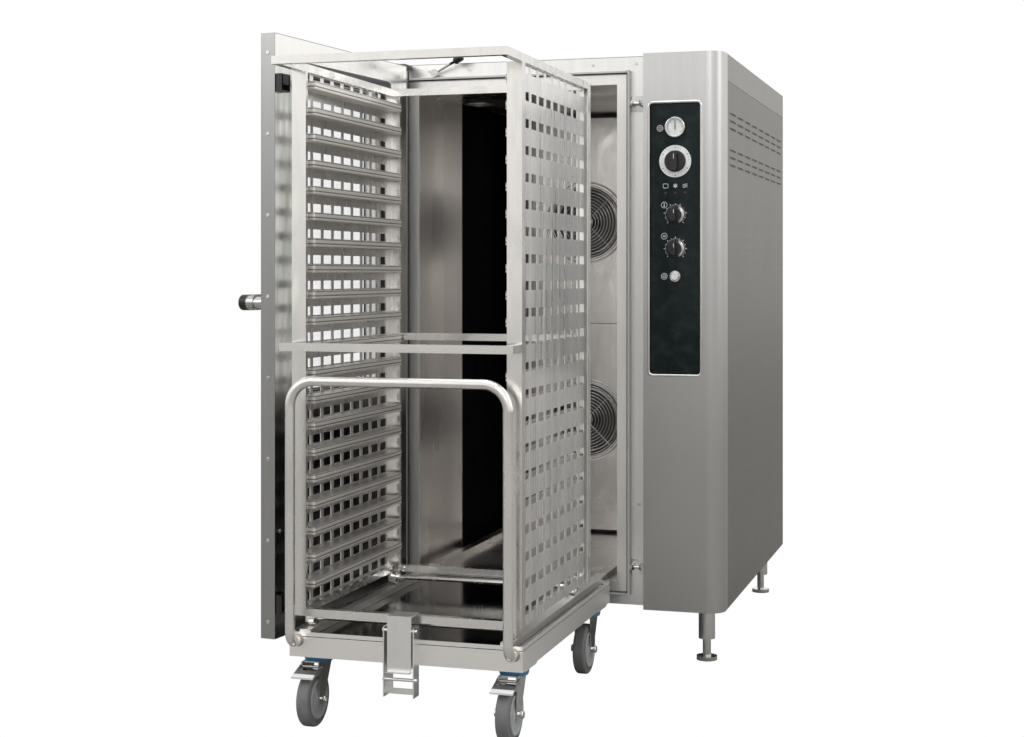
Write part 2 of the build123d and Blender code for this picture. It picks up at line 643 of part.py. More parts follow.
def fan(place):
    """Centrifugal wheel on its shaft: back plate, leaning blades and a front ring."""
    z = fan_z[place]
    y0, y1 = fan_y, fan_y + FAN_WIDTH
    wheel = [rod((0, y1 - FAN_PLATE, z), (0, 1, 0), FAN_RADIUS, FAN_PLATE),
             rod((0, y1 - FAN_HUB_LENGTH, z), (0, 1, 0), FAN_HUB_RADIUS, FAN_HUB_LENGTH),
             rod((0, y1 - FAN_HUB_LENGTH, z), (0, 1, 0), SHAFT_RADIUS,
                 chamber_back + SHEET + SHAFT_IN_MOTOR - (y1 - FAN_HUB_LENGTH))]
    front = rod((0, y0, z), (0, 1, 0), FAN_RADIUS, FAN_PLATE)
    wheel.append(front - rod((0, y0 - 1, z), (0, 1, 0), fan_eye, FAN_PLATE + 2))
    blade = Box(FAN_BLADE_LENGTH, FAN_WIDTH - FAN_PLATE, FAN_PLATE * 2 / 3)
    middle = FAN_RADIUS - FAN_BLADE_LENGTH / 2
    for i in range(FAN_BLADES):
        turned = Rot(0, FAN_BLADE_LEAN, 0) * blade
        placed = Rot(0, 360 * i / FAN_BLADES, 0) * (Pos(middle, 0, 0) * turned)
        wheel.append(Pos(0, (y0 + y1) / 2, z) * placed)
    node(f"fan_wheel_{place}", fuse(*wheel))


def heaters_and_motors():
    """Coiled heater around each fan, and its motor on a plate behind the fan chamber."""
    heaters, motors = [], []
    back = chamber_back + SHEET
    first = chamber_back - FAN_CHAMBER + SHEET + FAN_FRONT_GAP + HEATER_TUBE
    for z in fan_z.values():
        coils = [ring((0, first + i * HEATER_PITCH, z), heater_radius, HEATER_TUBE)
                 for i in range(HEATER_COILS)]
        clip = block(heater_radius - HEATER_CLIP_THICK / 2, heater_radius + HEATER_CLIP_THICK / 2,
                     first - HEATER_TUBE, chamber_back, -HEATER_CLIP_WIDTH / 2, HEATER_CLIP_WIDTH / 2)
        clips = [Pos(0, 0, z) * (Rot(0, 120 * i + 30, 0) * clip) for i in range(3)]
        heaters.append(fuse(*coils, *clips))
        m = MOTOR_PLATE / 2
        neck_end = back + MOTOR_PLATE_THICK + MOTOR_NECK
        motor = fuse(block(-m, m, back, back + MOTOR_PLATE_THICK, z - m, z + m),
                     rod((0, back, z), (0, 1, 0), MOTOR_NECK_RADIUS, MOTOR_PLATE_THICK + MOTOR_NECK),
                     rod((0, neck_end, z), (0, 1, 0), MOTOR_RADIUS, MOTOR_LENGTH))
        motors.append(motor - rod((0, back - 1, z), (0, 1, 0), SHAFT_RADIUS + PIN_GAP, SHAFT_IN_MOTOR + 2))
    node("heater_rings", *heaters)
    node("fan_motors", *motors)


def casing():
    """Side panels, rear panel and the top cover whose skirt leaves a seam."""
    left = block(body_left, body_left + SHEET, SHEET, BODY_DEPTH, BODY_BOTTOM, seam_z - SEAM)
    node("side_panel_left", left)
    right = block(body_right - SHEET, body_right, COLUMN_RETURN, BODY_DEPTH, BODY_BOTTOM, seam_z - SEAM)
    slots = []
    length, half = louvre_pitch - LOUVRE_BRIDGE, LOUVRE_HEIGHT / 2
    for drop in LOUVRE_DROPS:
        for row in range(LOUVRE_ROWS):
            z = body_top - drop - row * LOUVRE_ROW_PITCH
            for i in range(LOUVRE_COUNT):
                y = LOUVRE_MARGIN + i * louvre_pitch
                slots.append(block(body_right - SHEET - 1, body_right + 1, y, y + length, z - half, z + half))
    node("side_panel_right", right.cut(*slots))
    rear = block(body_left + SHEET, body_right - SHEET, BODY_DEPTH - SHEET, BODY_DEPTH,
                 BODY_BOTTOM, seam_z - SEAM)
    for x, z, r in ((gland_x, GLAND_Z, GLAND_RADIUS), (gland_x, INLET_Z, INLET_RADIUS)):
        rear -= rod((x, BODY_DEPTH - SHEET - 1, z), (0, 1, 0), r - SERVICE_HOLE_INSET, SHEET + 2)
    node("rear_panel", rear)
    under, q = body_top - SHEET, VENT_RADIUS + RUN_GAP
    sheets = [(body_left, vent_x - q, 0, BODY_DEPTH), (vent_x + q, column_left, 0, BODY_DEPTH),
              (column_left, body_right, COLUMN_RETURN, BODY_DEPTH), (vent_x - q, vent_x + q, 0, VENT_Y - q),
              (vent_x - q, vent_x + q, VENT_Y + q, BODY_DEPTH)]
    skirts = [(body_left, body_left + SHEET, SHEET, BODY_DEPTH - SHEET),
              (body_right - SHEET, body_right, COLUMN_RETURN, BODY_DEPTH - SHEET),
              (body_left, body_right, BODY_DEPTH - SHEET, BODY_DEPTH)]
    node("top_cover", *[block(*sheet, under, body_top) for sheet in sheets],
         *[block(*skirt, seam_z, under) for skirt in skirts])


def service_inlets():
    """Cable gland and threaded water inlet on the rear panel."""
    pieces = []
    for z, r, length in ((GLAND_Z, GLAND_RADIUS, GLAND_LENGTH), (INLET_Z, INLET_RADIUS, INLET_LENGTH)):
        flange = rod((gland_x, BODY_DEPTH, z), (0, 1, 0), r + SERVICE_FLANGE, SERVICE_FLANGE_THICK)
        stub = rod((gland_x, BODY_DEPTH, z), (0, 1, 0), r, length)
        bore = rod((gland_x, BODY_DEPTH - 1, z), (0, 1, 0), r - SERVICE_WALL, length + 2)
        pieces.append(fuse(flange, stub) - bore)
    node("service_inlets", *pieces)


def column():
    """Folded control column with one large round edge and a recess for the glass."""
    def body(t, y1, z0, z1):
        solid = block(column_left + t, body_right - t, -COLUMN_PROUD + t, y1, z0, z1)
        edge = solid.edges().filter_by(Axis.Z).sort_by(lambda e: e.center().X - e.center().Y)[-1]
        return fillet(edge, COLUMN_ROUND - t)

    shell = body(0, COLUMN_RETURN, BODY_BOTTOM, body_top)
    shell -= body(SHEET, COLUMN_RETURN + 1, BODY_BOTTOM + SHEET, body_top - SHEET)
    recess = glass_cutout(SHEET, -COLUMN_PROUD + SHEET, glass_face)
    opening = glass_cutout(0, -COLUMN_PROUD - 1, glass_face + 1)
    frame_room = (SHEET, COLUMN_RETURN + 1, BODY_BOTTOM - 1, frame_top)
    shell -= block(column_left - 1, body_right - SHEET, *frame_room)
    node("control_column", fuse(shell, recess) - opening)


def glass_cutout(grow, y0, y1):
    """Upright plate with rounded lower corners, as large as the glass opening plus grow."""
    plate = block(glass_x0 - grow, glass_x1 + grow, y0, y1, glass_bottom_z - grow, glass_top_z + grow)
    corners = plate.edges().filter_by(Axis.Y).sort_by(Axis.Z)[:2]
    return fillet(corners, GLASS_ROUND + grow)


def control_panel():
    """Glass with its dials, lamps and the switch bodies behind it."""
    x, y = control_x, glass_face
    glass = glass_cutout(SHEET, glass_face, glass_back)
    holes = [(gauge_z, GAUGE_BARREL + RUN_GAP), (timer_z, KNOB_SHAFT + 1), (temperature_z, KNOB_SHAFT + 1),
             (steam_z, KNOB_SHAFT + 1), (button_z, BUTTON_RADIUS + RUN_GAP)]
    for z, r in holes:
        glass -= rod((x, glass_face - 1, z), (0, 1, 0), r, GLASS_THICK + 2)
    lamps = []
    for i in (-1, 0, 1):
        lamp_x = x + i * LAMP_PITCH
        glass -= rod((lamp_x, glass_face - 1, lamp_z), (0, 1, 0), LAMP_RADIUS + PIN_GAP, GLASS_THICK + 2)
        lens = rod((lamp_x, y - LAMP_PROUD, lamp_z), (0, 1, 0), LAMP_RADIUS, LAMP_PROUD + LAMP_DEPTH)
        lamps.append(fillet(lens.edges().sort_by(Axis.Y)[0], LAMP_RADIUS / 2))
    node("control_glass", glass)
    node("indicator_lamps", *lamps)
    gauge_front = y - GAUGE_PROUD
    gauge = fuse(rod((x, gauge_front, gauge_z), (0, 1, 0), GAUGE_RADIUS, GAUGE_PROUD),
                 rod((x, gauge_front, gauge_z), (0, 1, 0), GAUGE_BARREL, GAUGE_PROUD + GAUGE_DEPTH))
    gauge -= rod((x, gauge_front - 1, gauge_z), (0, 1, 0), GAUGE_RADIUS - GAUGE_RIM, GAUGE_DIAL_DEPTH + 1)
    dial_y = gauge_front + GAUGE_DIAL_DEPTH
    gauge -= rod((x, dial_y - 1, gauge_z), (0, 1, 0), NEEDLE_PIN + PIN_GAP, NEEDLE_PIN_LENGTH)
    needle_y = dial_y - NEEDLE_RISE
    needle = fuse(block(x - NEEDLE_WIDTH / 2, x + NEEDLE_WIDTH / 2, needle_y, needle_y + NEEDLE_THICK,
                        gauge_z - NEEDLE_TAIL, gauge_z + NEEDLE_LENGTH),
                  rod((x, needle_y - 1, gauge_z), (0, 1, 0), NEEDLE_PIN, NEEDLE_PIN_LENGTH))
    node("gauge_needle", needle)
    dial_y = y - TIMER_DIAL_THICK
    timer_dial = rod((x, dial_y, timer_z), (0, 1, 0), TIMER_DIAL_RADIUS, TIMER_DIAL_THICK)
    timer_dial -= rod((x, dial_y - 1, timer_z), (0, 1, 0), TIMER_DIAL_BORE, TIMER_DIAL_THICK + 2)
    collar = rod((x, y - BUTTON_COLLAR_PROUD, button_z), (0, 1, 0), BUTTON_COLLAR, BUTTON_COLLAR_PROUD)
    collar -= rod((x, y - BUTTON_COLLAR_PROUD - 1, button_z), (0, 1, 0),
                  BUTTON_RADIUS + RUN_GAP, BUTTON_COLLAR_PROUD + 2)
    node("dial_plates", gauge, timer_dial, collar)


def knob(z, face, radius, height, grip_height, grip_width, skirt_radius, skirt):
    """Round knob with a raised grip bar, its skirt and its shaft; face is what it turns over."""
    x = control_x
    y = face - RUN_GAP
    pieces = [rod((x, y - skirt, z), (0, 1, 0), skirt_radius, skirt),
              rod((x, y - skirt - height, z), (0, 1, 0), radius, height),
              rod((x, y - skirt, z), (0, 1, 0), KNOB_SHAFT, glass_back + KNOB_SHAFT_LENGTH - y + skirt)]
    reach = radius - KNOB_GRIP_INSET
    half, top = grip_width / 2, y - skirt - height
    grip = block(x - half, x + half, top - grip_height, top, z - reach, z + reach)
    grip = fillet(grip.edges().filter_by(Axis.Y), half - 0.5)
    return fuse(*pieces, grip)


def controls():
    """Turning knobs, the push button and the switch bodies that carry them."""
    x = control_x
    node("timer_knob", knob(timer_z, glass_face - TIMER_DIAL_THICK, TIMER_KNOB_RADIUS - TIMER_SKIRT_REACH,
                            TIMER_KNOB_HEIGHT, TIMER_GRIP_HEIGHT, TIMER_GRIP_WIDTH,
                            TIMER_KNOB_RADIUS, TIMER_SKIRT))
    for name, z in (("temperature_knob", temperature_z), ("steam_knob", steam_z)):
        node(name, knob(z, glass_face, KNOB_RADIUS, KNOB_HEIGHT, KNOB_GRIP_HEIGHT, KNOB_GRIP_WIDTH,
                        KNOB_SKIRT_RADIUS, KNOB_SKIRT))
    front = glass_face - BUTTON_COLLAR_PROUD - BUTTON_TRAVEL
    cap = rod((x, front, button_z), (0, 1, 0), BUTTON_RADIUS, BUTTON_LENGTH)
    cap = fillet(cap.edges().sort_by(Axis.Y)[0], 2)
    stem = rod((x, front, button_z), (0, 1, 0), BUTTON_STEM, BUTTON_LENGTH + BUTTON_STEM_LENGTH)
    node("start_button", fuse(cap, stem))

    gear = []
    for z, size in ((timer_z, TIMER_BODY), (temperature_z, SWITCH_BODY), (steam_z, SWITCH_BODY)):
        case = block(x - size / 2, x + size / 2, glass_back, glass_back + size, z - size / 2, z + size / 2)
        bore = rod((x, glass_back - 1, z), (0, 1, 0), KNOB_SHAFT + PIN_GAP, KNOB_SHAFT_LENGTH + 2)
        gear.append(case - bore)
    half, start = SWITCH_BODY / 2, glass_back - 1
    switch = block(x - half, x + half, glass_back, glass_back + SWITCH_BODY, button_z - half, button_z + half)
    cap_end = front + BUTTON_LENGTH + BUTTON_TRAVEL + 1
    switch -= rod((x, start, button_z), (0, 1, 0), BUTTON_RADIUS + RUN_GAP, cap_end - start)
    stem_end = cap_end + BUTTON_STEM_LENGTH
    switch -= rod((x, start, button_z), (0, 1, 0), BUTTON_STEM + PIN_GAP, stem_end - start)
    gear.append(switch)
    gear += electrical_gear()
    node("control_gear", *gear)


def electrical_gear():
    """Mounting plate against the right wool slab, with contactors, transformer and terminals."""
    px = half_cavity + SHEET + INSULATION
    top = GEAR_PLATE_Z + GEAR_PLATE_HEIGHT
    plate = block(px, px + SHEET, GEAR_PLATE_Y, GEAR_PLATE_Y + GEAR_PLATE_DEPTH, GEAR_PLATE_Z, top)
    face = px + SHEET
    pieces = [plate]
    for i in range(CONTACTOR_COUNT):
        y = GEAR_PLATE_Y + GEAR_MARGIN + i * CONTACTOR_PITCH
        z = top - GEAR_MARGIN - CONTACTOR[2]
        pieces.append(block(face, face + CONTACTOR[0], y, y + CONTACTOR[1], z, z + CONTACTOR[2]))
    y = GEAR_PLATE_Y + GEAR_PLATE_DEPTH - GEAR_MARGIN - TRANSFORMER[1]
    z = GEAR_PLATE_Z + GEAR_PLATE_HEIGHT / 2
    pieces.append(block(face, face + TRANSFORMER[0], y, y + TRANSFORMER[1], z, z + TRANSFORMER[2]))
    y = GEAR_PLATE_Y + GEAR_MARGIN
    z = GEAR_PLATE_Z + GEAR_MARGIN
    pieces.append(block(face, face + TERMINAL_BLOCK[0], y, y + TERMINAL_BLOCK[1], z, z + TERMINAL_BLOCK[2]))
    return pieces


def vent():
    """Exhaust duct with a flange under the cavity's roof, and the lever whose shaft turns its flap."""
    z0, z1 = cavity_top, body_top + VENT_RISE
    duct = fuse(rod((vent_x, VENT_Y, z0), (0, 0, 1), VENT_RADIUS, z1 - z0),
                rod((vent_x, VENT_Y, z0 - VENT_WALL), (0, 0, 1), VENT_FLANGE_RADIUS, VENT_WALL),
                rod((vent_x, VENT_Y, body_top), (0, 0, 1), VENT_COLLAR_RADIUS, VENT_COLLAR_THICK))
    low, high = z0 - VENT_WALL - 1, z1 + 1
    duct -= rod((vent_x, VENT_Y, low), (0, 0, 1), VENT_RADIUS - VENT_WALL, high - low)
    reach = VENT_RADIUS + 2
    duct -= rod((vent_x, VENT_Y - reach, vent_shaft_z), (0, 1, 0), VENT_SHAFT_RADIUS + PIN_GAP, 2 * reach)
    node("vent_duct", duct)
    dx, dy, dz = LEVER_REACH
    boss_y = -RUN_GAP - LEVER_BOSS_LENGTH
    shaft = rod((vent_x, boss_y, vent_shaft_z), (0, 1, 0), VENT_SHAFT_RADIUS, VENT_Y + reach + 4 - boss_y)
    boss = rod((vent_x, boss_y, vent_shaft_z), (0, 1, 0), LEVER_BOSS_RADIUS, LEVER_BOSS_LENGTH)
    flap = rod((vent_x, VENT_Y, vent_shaft_z - FLAP_THICK / 2), (0, 0, 1), VENT_RADIUS - VENT_WALL - FLAP_GAP,
               FLAP_THICK)
    flap = flap.rotate(Axis((vent_x, VENT_Y, vent_shaft_z), (0, 1, 0)), -degrees(atan2(dz, dx)))
    start = (vent_x, boss_y + LEVER_BOSS_LENGTH / 2, vent_shaft_z)
    length = hypot(dx, dy, dz)
    arm = rod(start, (dx, dy, dz), LEVER_ROD_RADIUS, length)
    tip = [start[i] + (dx, dy, dz)[i] * (1 - LEVER_KNOB_LENGTH / 2 / length) for i in range(3)]
    grip = rod(tip, (dx, dy, dz), LEVER_KNOB_RADIUS, LEVER_KNOB_LENGTH)
    grip = fillet(grip.edges().filter_by(GeomType.CIRCLE), LEVER_KNOB_RADIUS * 0.6)
    node("vent_lever", fuse(shaft, boss, arm, grip, flap))


def cavity_lamps():
    """Round lamps let into the right wall of the cavity."""
    lamps = []
    x = half_cavity
    for z in cavity_lamp_z:
        rim = rod((x - CAVITY_LAMP_PROUD, CAVITY_LAMP_Y, z), (1, 0, 0), CAVITY_LAMP_RIM, CAVITY_LAMP_PROUD)
        rim = chamfer(rim.edges().sort_by(Axis.X)[0], CAVITY_LAMP_PROUD * 0.6)
        barrel = rod((x, CAVITY_LAMP_Y, z), (1, 0, 0), CAVITY_LAMP_RADIUS, CAVITY_LAMP_DEPTH)
        lamps.append(fuse(rim, barrel))
    node("cavity_lamps", *lamps)


def casing_screws():
    """Screw heads along the header over the doorway and on the plain strip."""
    spots = [(body_left + x, body_top - HEADER_SCREW_DROP) for x in HEADER_SCREWS]
    spots.append((column_left - STRIP_SCREW_FROM_COLUMN, striker_z - STRIP_SCREW_DROP))
    heads = []
    for x, z in spots:
        head = rod((x, -SCREW_HEAD, z), (0, 1, 0), SCREW_HEAD_RADIUS, SCREW_HEAD)
        heads.append(fillet(head.edges().sort_by(Axis.Y)[0], SCREW_HEAD / 2))
    node("casing_screws", *heads)


# Door and its fittings
def keepers_and_hinges():
    """Pins that the latch blocks catch, and the plates and pins that carry the door."""
    x0, x1 = keeper_x0, keeper_x1
    keepers = []
    for z in latch_z.values():
        h = KEEPER_PLATE[2] / 2
        plate = block(x0, x1, -KEEPER_PLATE[1], 0, z - h, z + h)
        ear = KEEPER_EAR_HEIGHT / 2
        ears = [block(x, x + KEEPER_EAR, -keeper_proud, -KEEPER_PLATE[1], z - ear, z + ear)
                for x in (x0, x1 - KEEPER_EAR)]
        pin_y = -keeper_proud + KEEPER_PIN_RADIUS + 2
        pin = rod((x0, pin_y, z), (1, 0, 0), KEEPER_PIN_RADIUS, x1 - x0)
        keepers.append(fuse(plate, *ears, pin))
    node("latch_keepers", *keepers)
    hinges = []
    pin, plate = HINGE_PIN_LENGTH, HINGE_PLATE
    over, under = door_top + HINGE_PLAY, door_bottom - HINGE_PLAY
    for plate_z, pin_z, cap_z in ((over, over - pin, over + plate),
                                  (under - plate, under, under - plate - HINGE_CAP)):
        hinges.append(fuse(block(door_left, door_left + HINGE_PLATE_WIDTH, door_front, 0,
                                 plate_z, plate_z + plate),
                           rod((hinge_x, hinge_y, pin_z), (0, 0, 1), HINGE_PIN_RADIUS, pin),
                           rod((hinge_x, hinge_y, cap_z), (0, 0, 1), HINGE_CAP_RADIUS, HINGE_CAP)))
    node("hinge_brackets", *hinges)


def door_blank(inset, y0, y1):
    """Slice of the closed door pulled in by inset, with the slanted inner corner at the hinge."""
    blank = block(door_left + inset, door_right - inset, door_front, door_back,
                  door_bottom + inset, door_top - inset)
    corner = blank.edges().filter_by(Axis.Z).sort_by(lambda e: e.center().X - e.center().Y)[0]
    return chamfer(corner, HINGE_RELIEF) & block(door_left, door_right, y0, y1, door_bottom, door_top)


def window_hole(grow, y0, y1):
    """Slab as large as the door's window plus grow on each side."""
    return block(window_x0 - grow, window_x1 + grow, y0, y1, window_bottom_z - grow, window_top_z + grow)


def hinge_bores(shape):
    """Shape with the bores for both hinge pins."""
    deep = HINGE_PIN_LENGTH + 1
    for z0, z1 in ((door_bottom - 1, door_bottom + deep), (door_top - deep, door_top + 1)):
        shape -= rod((hinge_x, hinge_y, z0), (0, 0, 1), HINGE_PIN_RADIUS + PIN_GAP, z1 - z0)
    return shape


def door():
    """Outer pan, wool core and inner panel around a double-glazed window."""
    pan = door_blank(0, door_front, door_back)
    hollow = door_blank(SHEET, door_front + SHEET, door_back)
    bushes = []
    tall = HINGE_PIN_LENGTH + HINGE_BUSH_CAP
    for z0, z1 in ((door_bottom, door_bottom + tall), (door_top - tall, door_top)):
        bushes.append(block(door_left, door_left + HINGE_BUSH, door_front, door_front + HINGE_BUSH, z0, z1))
    shell = fuse(pan - hollow, *bushes) - window_hole(0, door_front - 1, door_back)
    shell = hinge_bores(shell)
    plate_y = door_front - ESCUTCHEON_THICK
    bore = rod((handle_x, plate_y - 1, handle_z), (0, 1, 0), HANDLE_SPINDLE_RADIUS + PIN_GAP,
               ESCUTCHEON_THICK + SHEET + 2)
    plate = rod((handle_x, plate_y, handle_z), (0, 1, 0), ESCUTCHEON_RADIUS, ESCUTCHEON_THICK)
    plate = fillet(plate.edges().sort_by(Axis.Y)[0], ESCUTCHEON_THICK * 0.6)
    screws, holes = door_screws()
    node("door_shell", swing((shell - bore).cut(*holes)), swing(plate - bore))
    node("door_screws", *[swing(screw) for screw in screws])

    core_front, core_back = door_front + SHEET, door_back - SHEET
    rim = window_hole(WINDOW_RIM, core_front, core_back) - window_hole(0, core_front - 1, core_back + 1)
    seats = {"outer": (core_front + PANE_SETBACK, core_front + PANE_SETBACK + OUTER_PANE),
             "inner": (core_back - PANE_SETBACK - INNER_PANE, core_back - PANE_SETBACK)}
    panes = [window_hole(PANE_SEAT, y0, y1) for y0, y1 in seats.values()]
    panel = door_blank(SHEET, core_back, door_back)
    slots = [latch_slot(z, core_back - 1, door_back + 1) for z in latch_z.values()]
    striker = rod((door_right - STRIKER_FROM_EDGE, door_back, striker_z), (0, 1, 0),
                  STRIKER_RADIUS, STRIKER_HEIGHT)
    striker = fillet(striker.edges().sort_by(Axis.Y)[-1], STRIKER_RADIUS * 0.8)
    panel = fuse(panel - window_hole(0, core_back - 1, door_back + 1), rim, striker)
    for cut in slots + panes + bushes:
        panel -= cut
    node("door_inner_panel", swing(panel))
    node("door_glazing", *[swing(pane) for pane in panes])

    core = door_blank(SHEET, core_front, core_back)
    crank_y = rod_y - LATCH_ROD_RADIUS - 2 - HANDLE_CRANK
    room = [window_hole(WINDOW_RIM, core_front - 1, core_back + 1), *bushes, *holes,
            rod((handle_x, core_front - 1, handle_z), (0, 1, 0), HANDLE_CRANK_RADIUS + 1,
                crank_y + HANDLE_CRANK + 2 - core_front),
            rod((latch_x, rod_y, door_bottom + LATCH_CHANNEL_END), (0, 0, 1), LATCH_ROD_RADIUS + RUN_GAP,
                door_top - door_bottom - 2 * LATCH_CHANNEL_END)]
    room += [latch_slot(z, rod_y, core_back + 1) for z in latch_z.values()]
    node("door_core", swing(core.cut(*room)))


def latch_slot(z, y0, y1):
    """Room for a latch block's neck as it is lifted."""
    half = LATCH_NECK / 2 + LATCH_SLOT_PLAY
    return block(latch_x - half, latch_x + half, y0, y1, z - half, z + half + LATCH_TRAVEL)


def door_screws():
    """Round-headed screws down the free edge, and the holes that they need."""
    screws, holes = [], []
    lowest, highest = door_bottom + DOOR_SCREW_LOWEST, door_top - DOOR_SCREW_HIGHEST
    for i in range(DOOR_SCREW_COUNT):
        z = lowest + (highest - lowest) * i / (DOOR_SCREW_COUNT - 1)
        start = (door_right - SCREW_LENGTH, rod_y, z)
        head = rod((door_right, rod_y, z), (1, 0, 0), SCREW_HEAD_RADIUS, SCREW_HEAD)
        head = fillet(head.edges().sort_by(Axis.X)[-1], SCREW_HEAD / 2)
        screws.append(fuse(rod(start, (1, 0, 0), SCREW_RADIUS, SCREW_LENGTH), head))
        holes.append(rod(start, (1, 0, 0), SCREW_RADIUS, SCREW_LENGTH + 1))
    return screws, holes


def handle_and_latches():
    """Lever handle on a spindle, and the rod that lifts both latch blocks."""
    y = door_front - ESCUTCHEON_THICK - RUN_GAP
    crank_y = rod_y - LATCH_ROD_RADIUS - 2 - HANDLE_CRANK
    top = y - HANDLE_NECK - HANDLE_COLLAR
    length, thick, tall = HANDLE_GRIP
    grip = block(handle_x + tall / 2 - length, handle_x + tall / 2, top - thick, top,
                 handle_z - tall / 2, handle_z + tall / 2)
    grip = fillet(grip.edges().filter_by(Axis.Y), tall / 2 - 1)
    grip = fillet(grip.edges().group_by(Axis.Y)[0], thick * 0.35)
    handle = fuse(rod((handle_x, y - HANDLE_NECK, handle_z), (0, 1, 0), HANDLE_NECK_RADIUS, HANDLE_NECK),
                  rod((handle_x, top, handle_z), (0, 1, 0), HANDLE_COLLAR_RADIUS, HANDLE_COLLAR),
                  rod((handle_x, y, handle_z), (0, 1, 0), HANDLE_SPINDLE_RADIUS, crank_y - y),
                  rod((handle_x, crank_y, handle_z), (0, 1, 0), HANDLE_CRANK_RADIUS, HANDLE_CRANK), grip)
    node("door_handle", swing(handle))
    w, tall = LATCH_BLOCK
    deep = gasket_proud - LATCH_BACK_GAP
    z0, z1 = latch_z["lower"] - tall / 2, latch_z["upper"] + tall / 2
    pieces = [rod((latch_x, rod_y, z0), (0, 0, 1), LATCH_ROD_RADIUS, z1 - z0)]
    face = door_back + RUN_GAP
    neck, wall, room = LATCH_NECK / 2, LATCH_WALL, tall / 2 - LATCH_WALL
    tooth_deep, tooth_low = LATCH_TOOTH
    for z in latch_z.values():
        hook = block(latch_x - w / 2, latch_x + w / 2, face, face + deep, z - tall / 2, z + tall / 2)
        hook = fillet(hook.edges().filter_by(Axis.Z).sort_by(Axis.Y)[:2], LATCH_ROUND)
        hook -= block(keeper_x0 - 1, keeper_x1 + 1, face + wall, face + deep + 1, z - room, z + room)
        tooth = block(keeper_x0 + KEEPER_EAR + 1, keeper_x1 - KEEPER_EAR - 1,
                      face + deep - tooth_deep, face + deep, z - tooth_low, z + room + 1)
        pieces += [hook, tooth]
        pieces.append(block(latch_x - neck, latch_x + neck, rod_y, face + 1, z - neck, z + neck))
    node("latch_rod", swing(fuse(*pieces)))


# Rack
def rack_frame():
    """Folded posts and square tubes, each bar its own solid, butted face to face."""
    w, t, b = RACK_WIDTH / 2, RACK_TUBE, RACK_BOTTOM_TUBE
    y0, y1 = rack_front_y, rack_back_y
    top0 = rack_top - t
    front = y0 - RACK_TOP_REACH
    pieces = [block(-w, w, front, front + t, top0, rack_top), block(-w, w, y1 - t, y1, top0, rack_top)]
    pull = y0 - RACK_BAR_REACH
    bar0, bar1 = rack_bar_z - t / 2, rack_bar_z + t / 2
    lip = w - POST_WIDTH
    pieces += [block(-w, w, pull, pull + t, bar0, bar1), block(-lip, lip, y1 - t, y1, bar0, bar1),
               block(-lip, lip, y0, y0 + t, rack_bottom, rack_bottom + b),
               block(-lip, lip, y1 - t, y1, rack_bottom, rack_bottom + b)]
    for side in (-1, 1):
        outer, inner = sorted((side * w, side * (w - t)))
        pieces += [block(outer, inner, front + t, y1 - t, top0, rack_top),
                   block(outer, inner, pull + t, y0, bar0, bar1)]
        pieces += [post(side, y0, 1), post(side, y1, -1)]
        wall = w - PANEL_INSET - PANEL_SHEET
        outer, inner = sorted((side * wall, side * (wall - b)))
        pieces.append(block(outer, inner, y0 + POST_DEPTH, y1 - POST_DEPTH, rack_bottom, rack_bottom + b))
        for axle_y in roller_places():
            pieces.append(roller_plate(side, axle_y))
    node("rack_frame", *pieces)


def post(side, y, inward):
    """C-section post: web across the end, outer flange and a short inner lip."""
    w, s = RACK_WIDTH / 2, POST_SHEET
    z0, z1 = rack_bottom, rack_top - RACK_TUBE

    def bar(xa, xb, ya, yb):
        x0, x1 = sorted((side * xa, side * xb))
        y0, y1 = sorted((y + inward * ya, y + inward * yb))
        return block(x0, x1, y0, y1, z0, z1)

    return fuse(bar(w - POST_WIDTH, w, 0, s), bar(w - s, w, 0, POST_DEPTH),
                bar(w - POST_WIDTH, w - POST_WIDTH + s, 0, POST_LIP))


def roller_places():
    """Y of the front and the rear axle of the rack."""
    inset = ROLLER_INSET + POST_DEPTH / 2
    return rack_front_y + inset, rack_back_y - inset


def roller_plate(side, y):
    """Plate welded inside the bottom tube that carries one end of an axle."""
    x_out = RACK_WIDTH / 2 - PANEL_INSET - PANEL_SHEET - RACK_BOTTOM_TUBE
    xa, xb = sorted((side * x_out, side * (x_out + ROLLER_PLATE)))
    half = ROLLER_PLATE_LENGTH / 2
    plate = block(xa, xb, y - half, y + half, axle_z - AXLE_RADIUS - 4, rack_bottom)
    return plate - rod((xa - 1, y, axle_z), (1, 0, 0), AXLE_RADIUS + PIN_GAP, ROLLER_PLATE + 2)


def rack_wheels():
    """Two rollers on one axle, front and rear."""
    for name, y in zip(("rack_wheels_front", "rack_wheels_rear"), roller_places()):
        x_out = RACK_WIDTH / 2 - PANEL_INSET - PANEL_SHEET - RACK_BOTTOM_TUBE + ROLLER_PLATE + 1
        pieces = [rod((-x_out, y, axle_z), (1, 0, 0), AXLE_RADIUS, 2 * x_out)]
        for side in (-1, 1):
            x = side * roller_x - ROLLER_WIDTH / 2
            wheel = rod((x, y, axle_z), (1, 0, 0), ROLLER_RADIUS, ROLLER_WIDTH)
            pieces.append(chamfer(wheel.edges().filter_by(GeomType.CIRCLE), 2))
        node(name, fuse(*pieces))


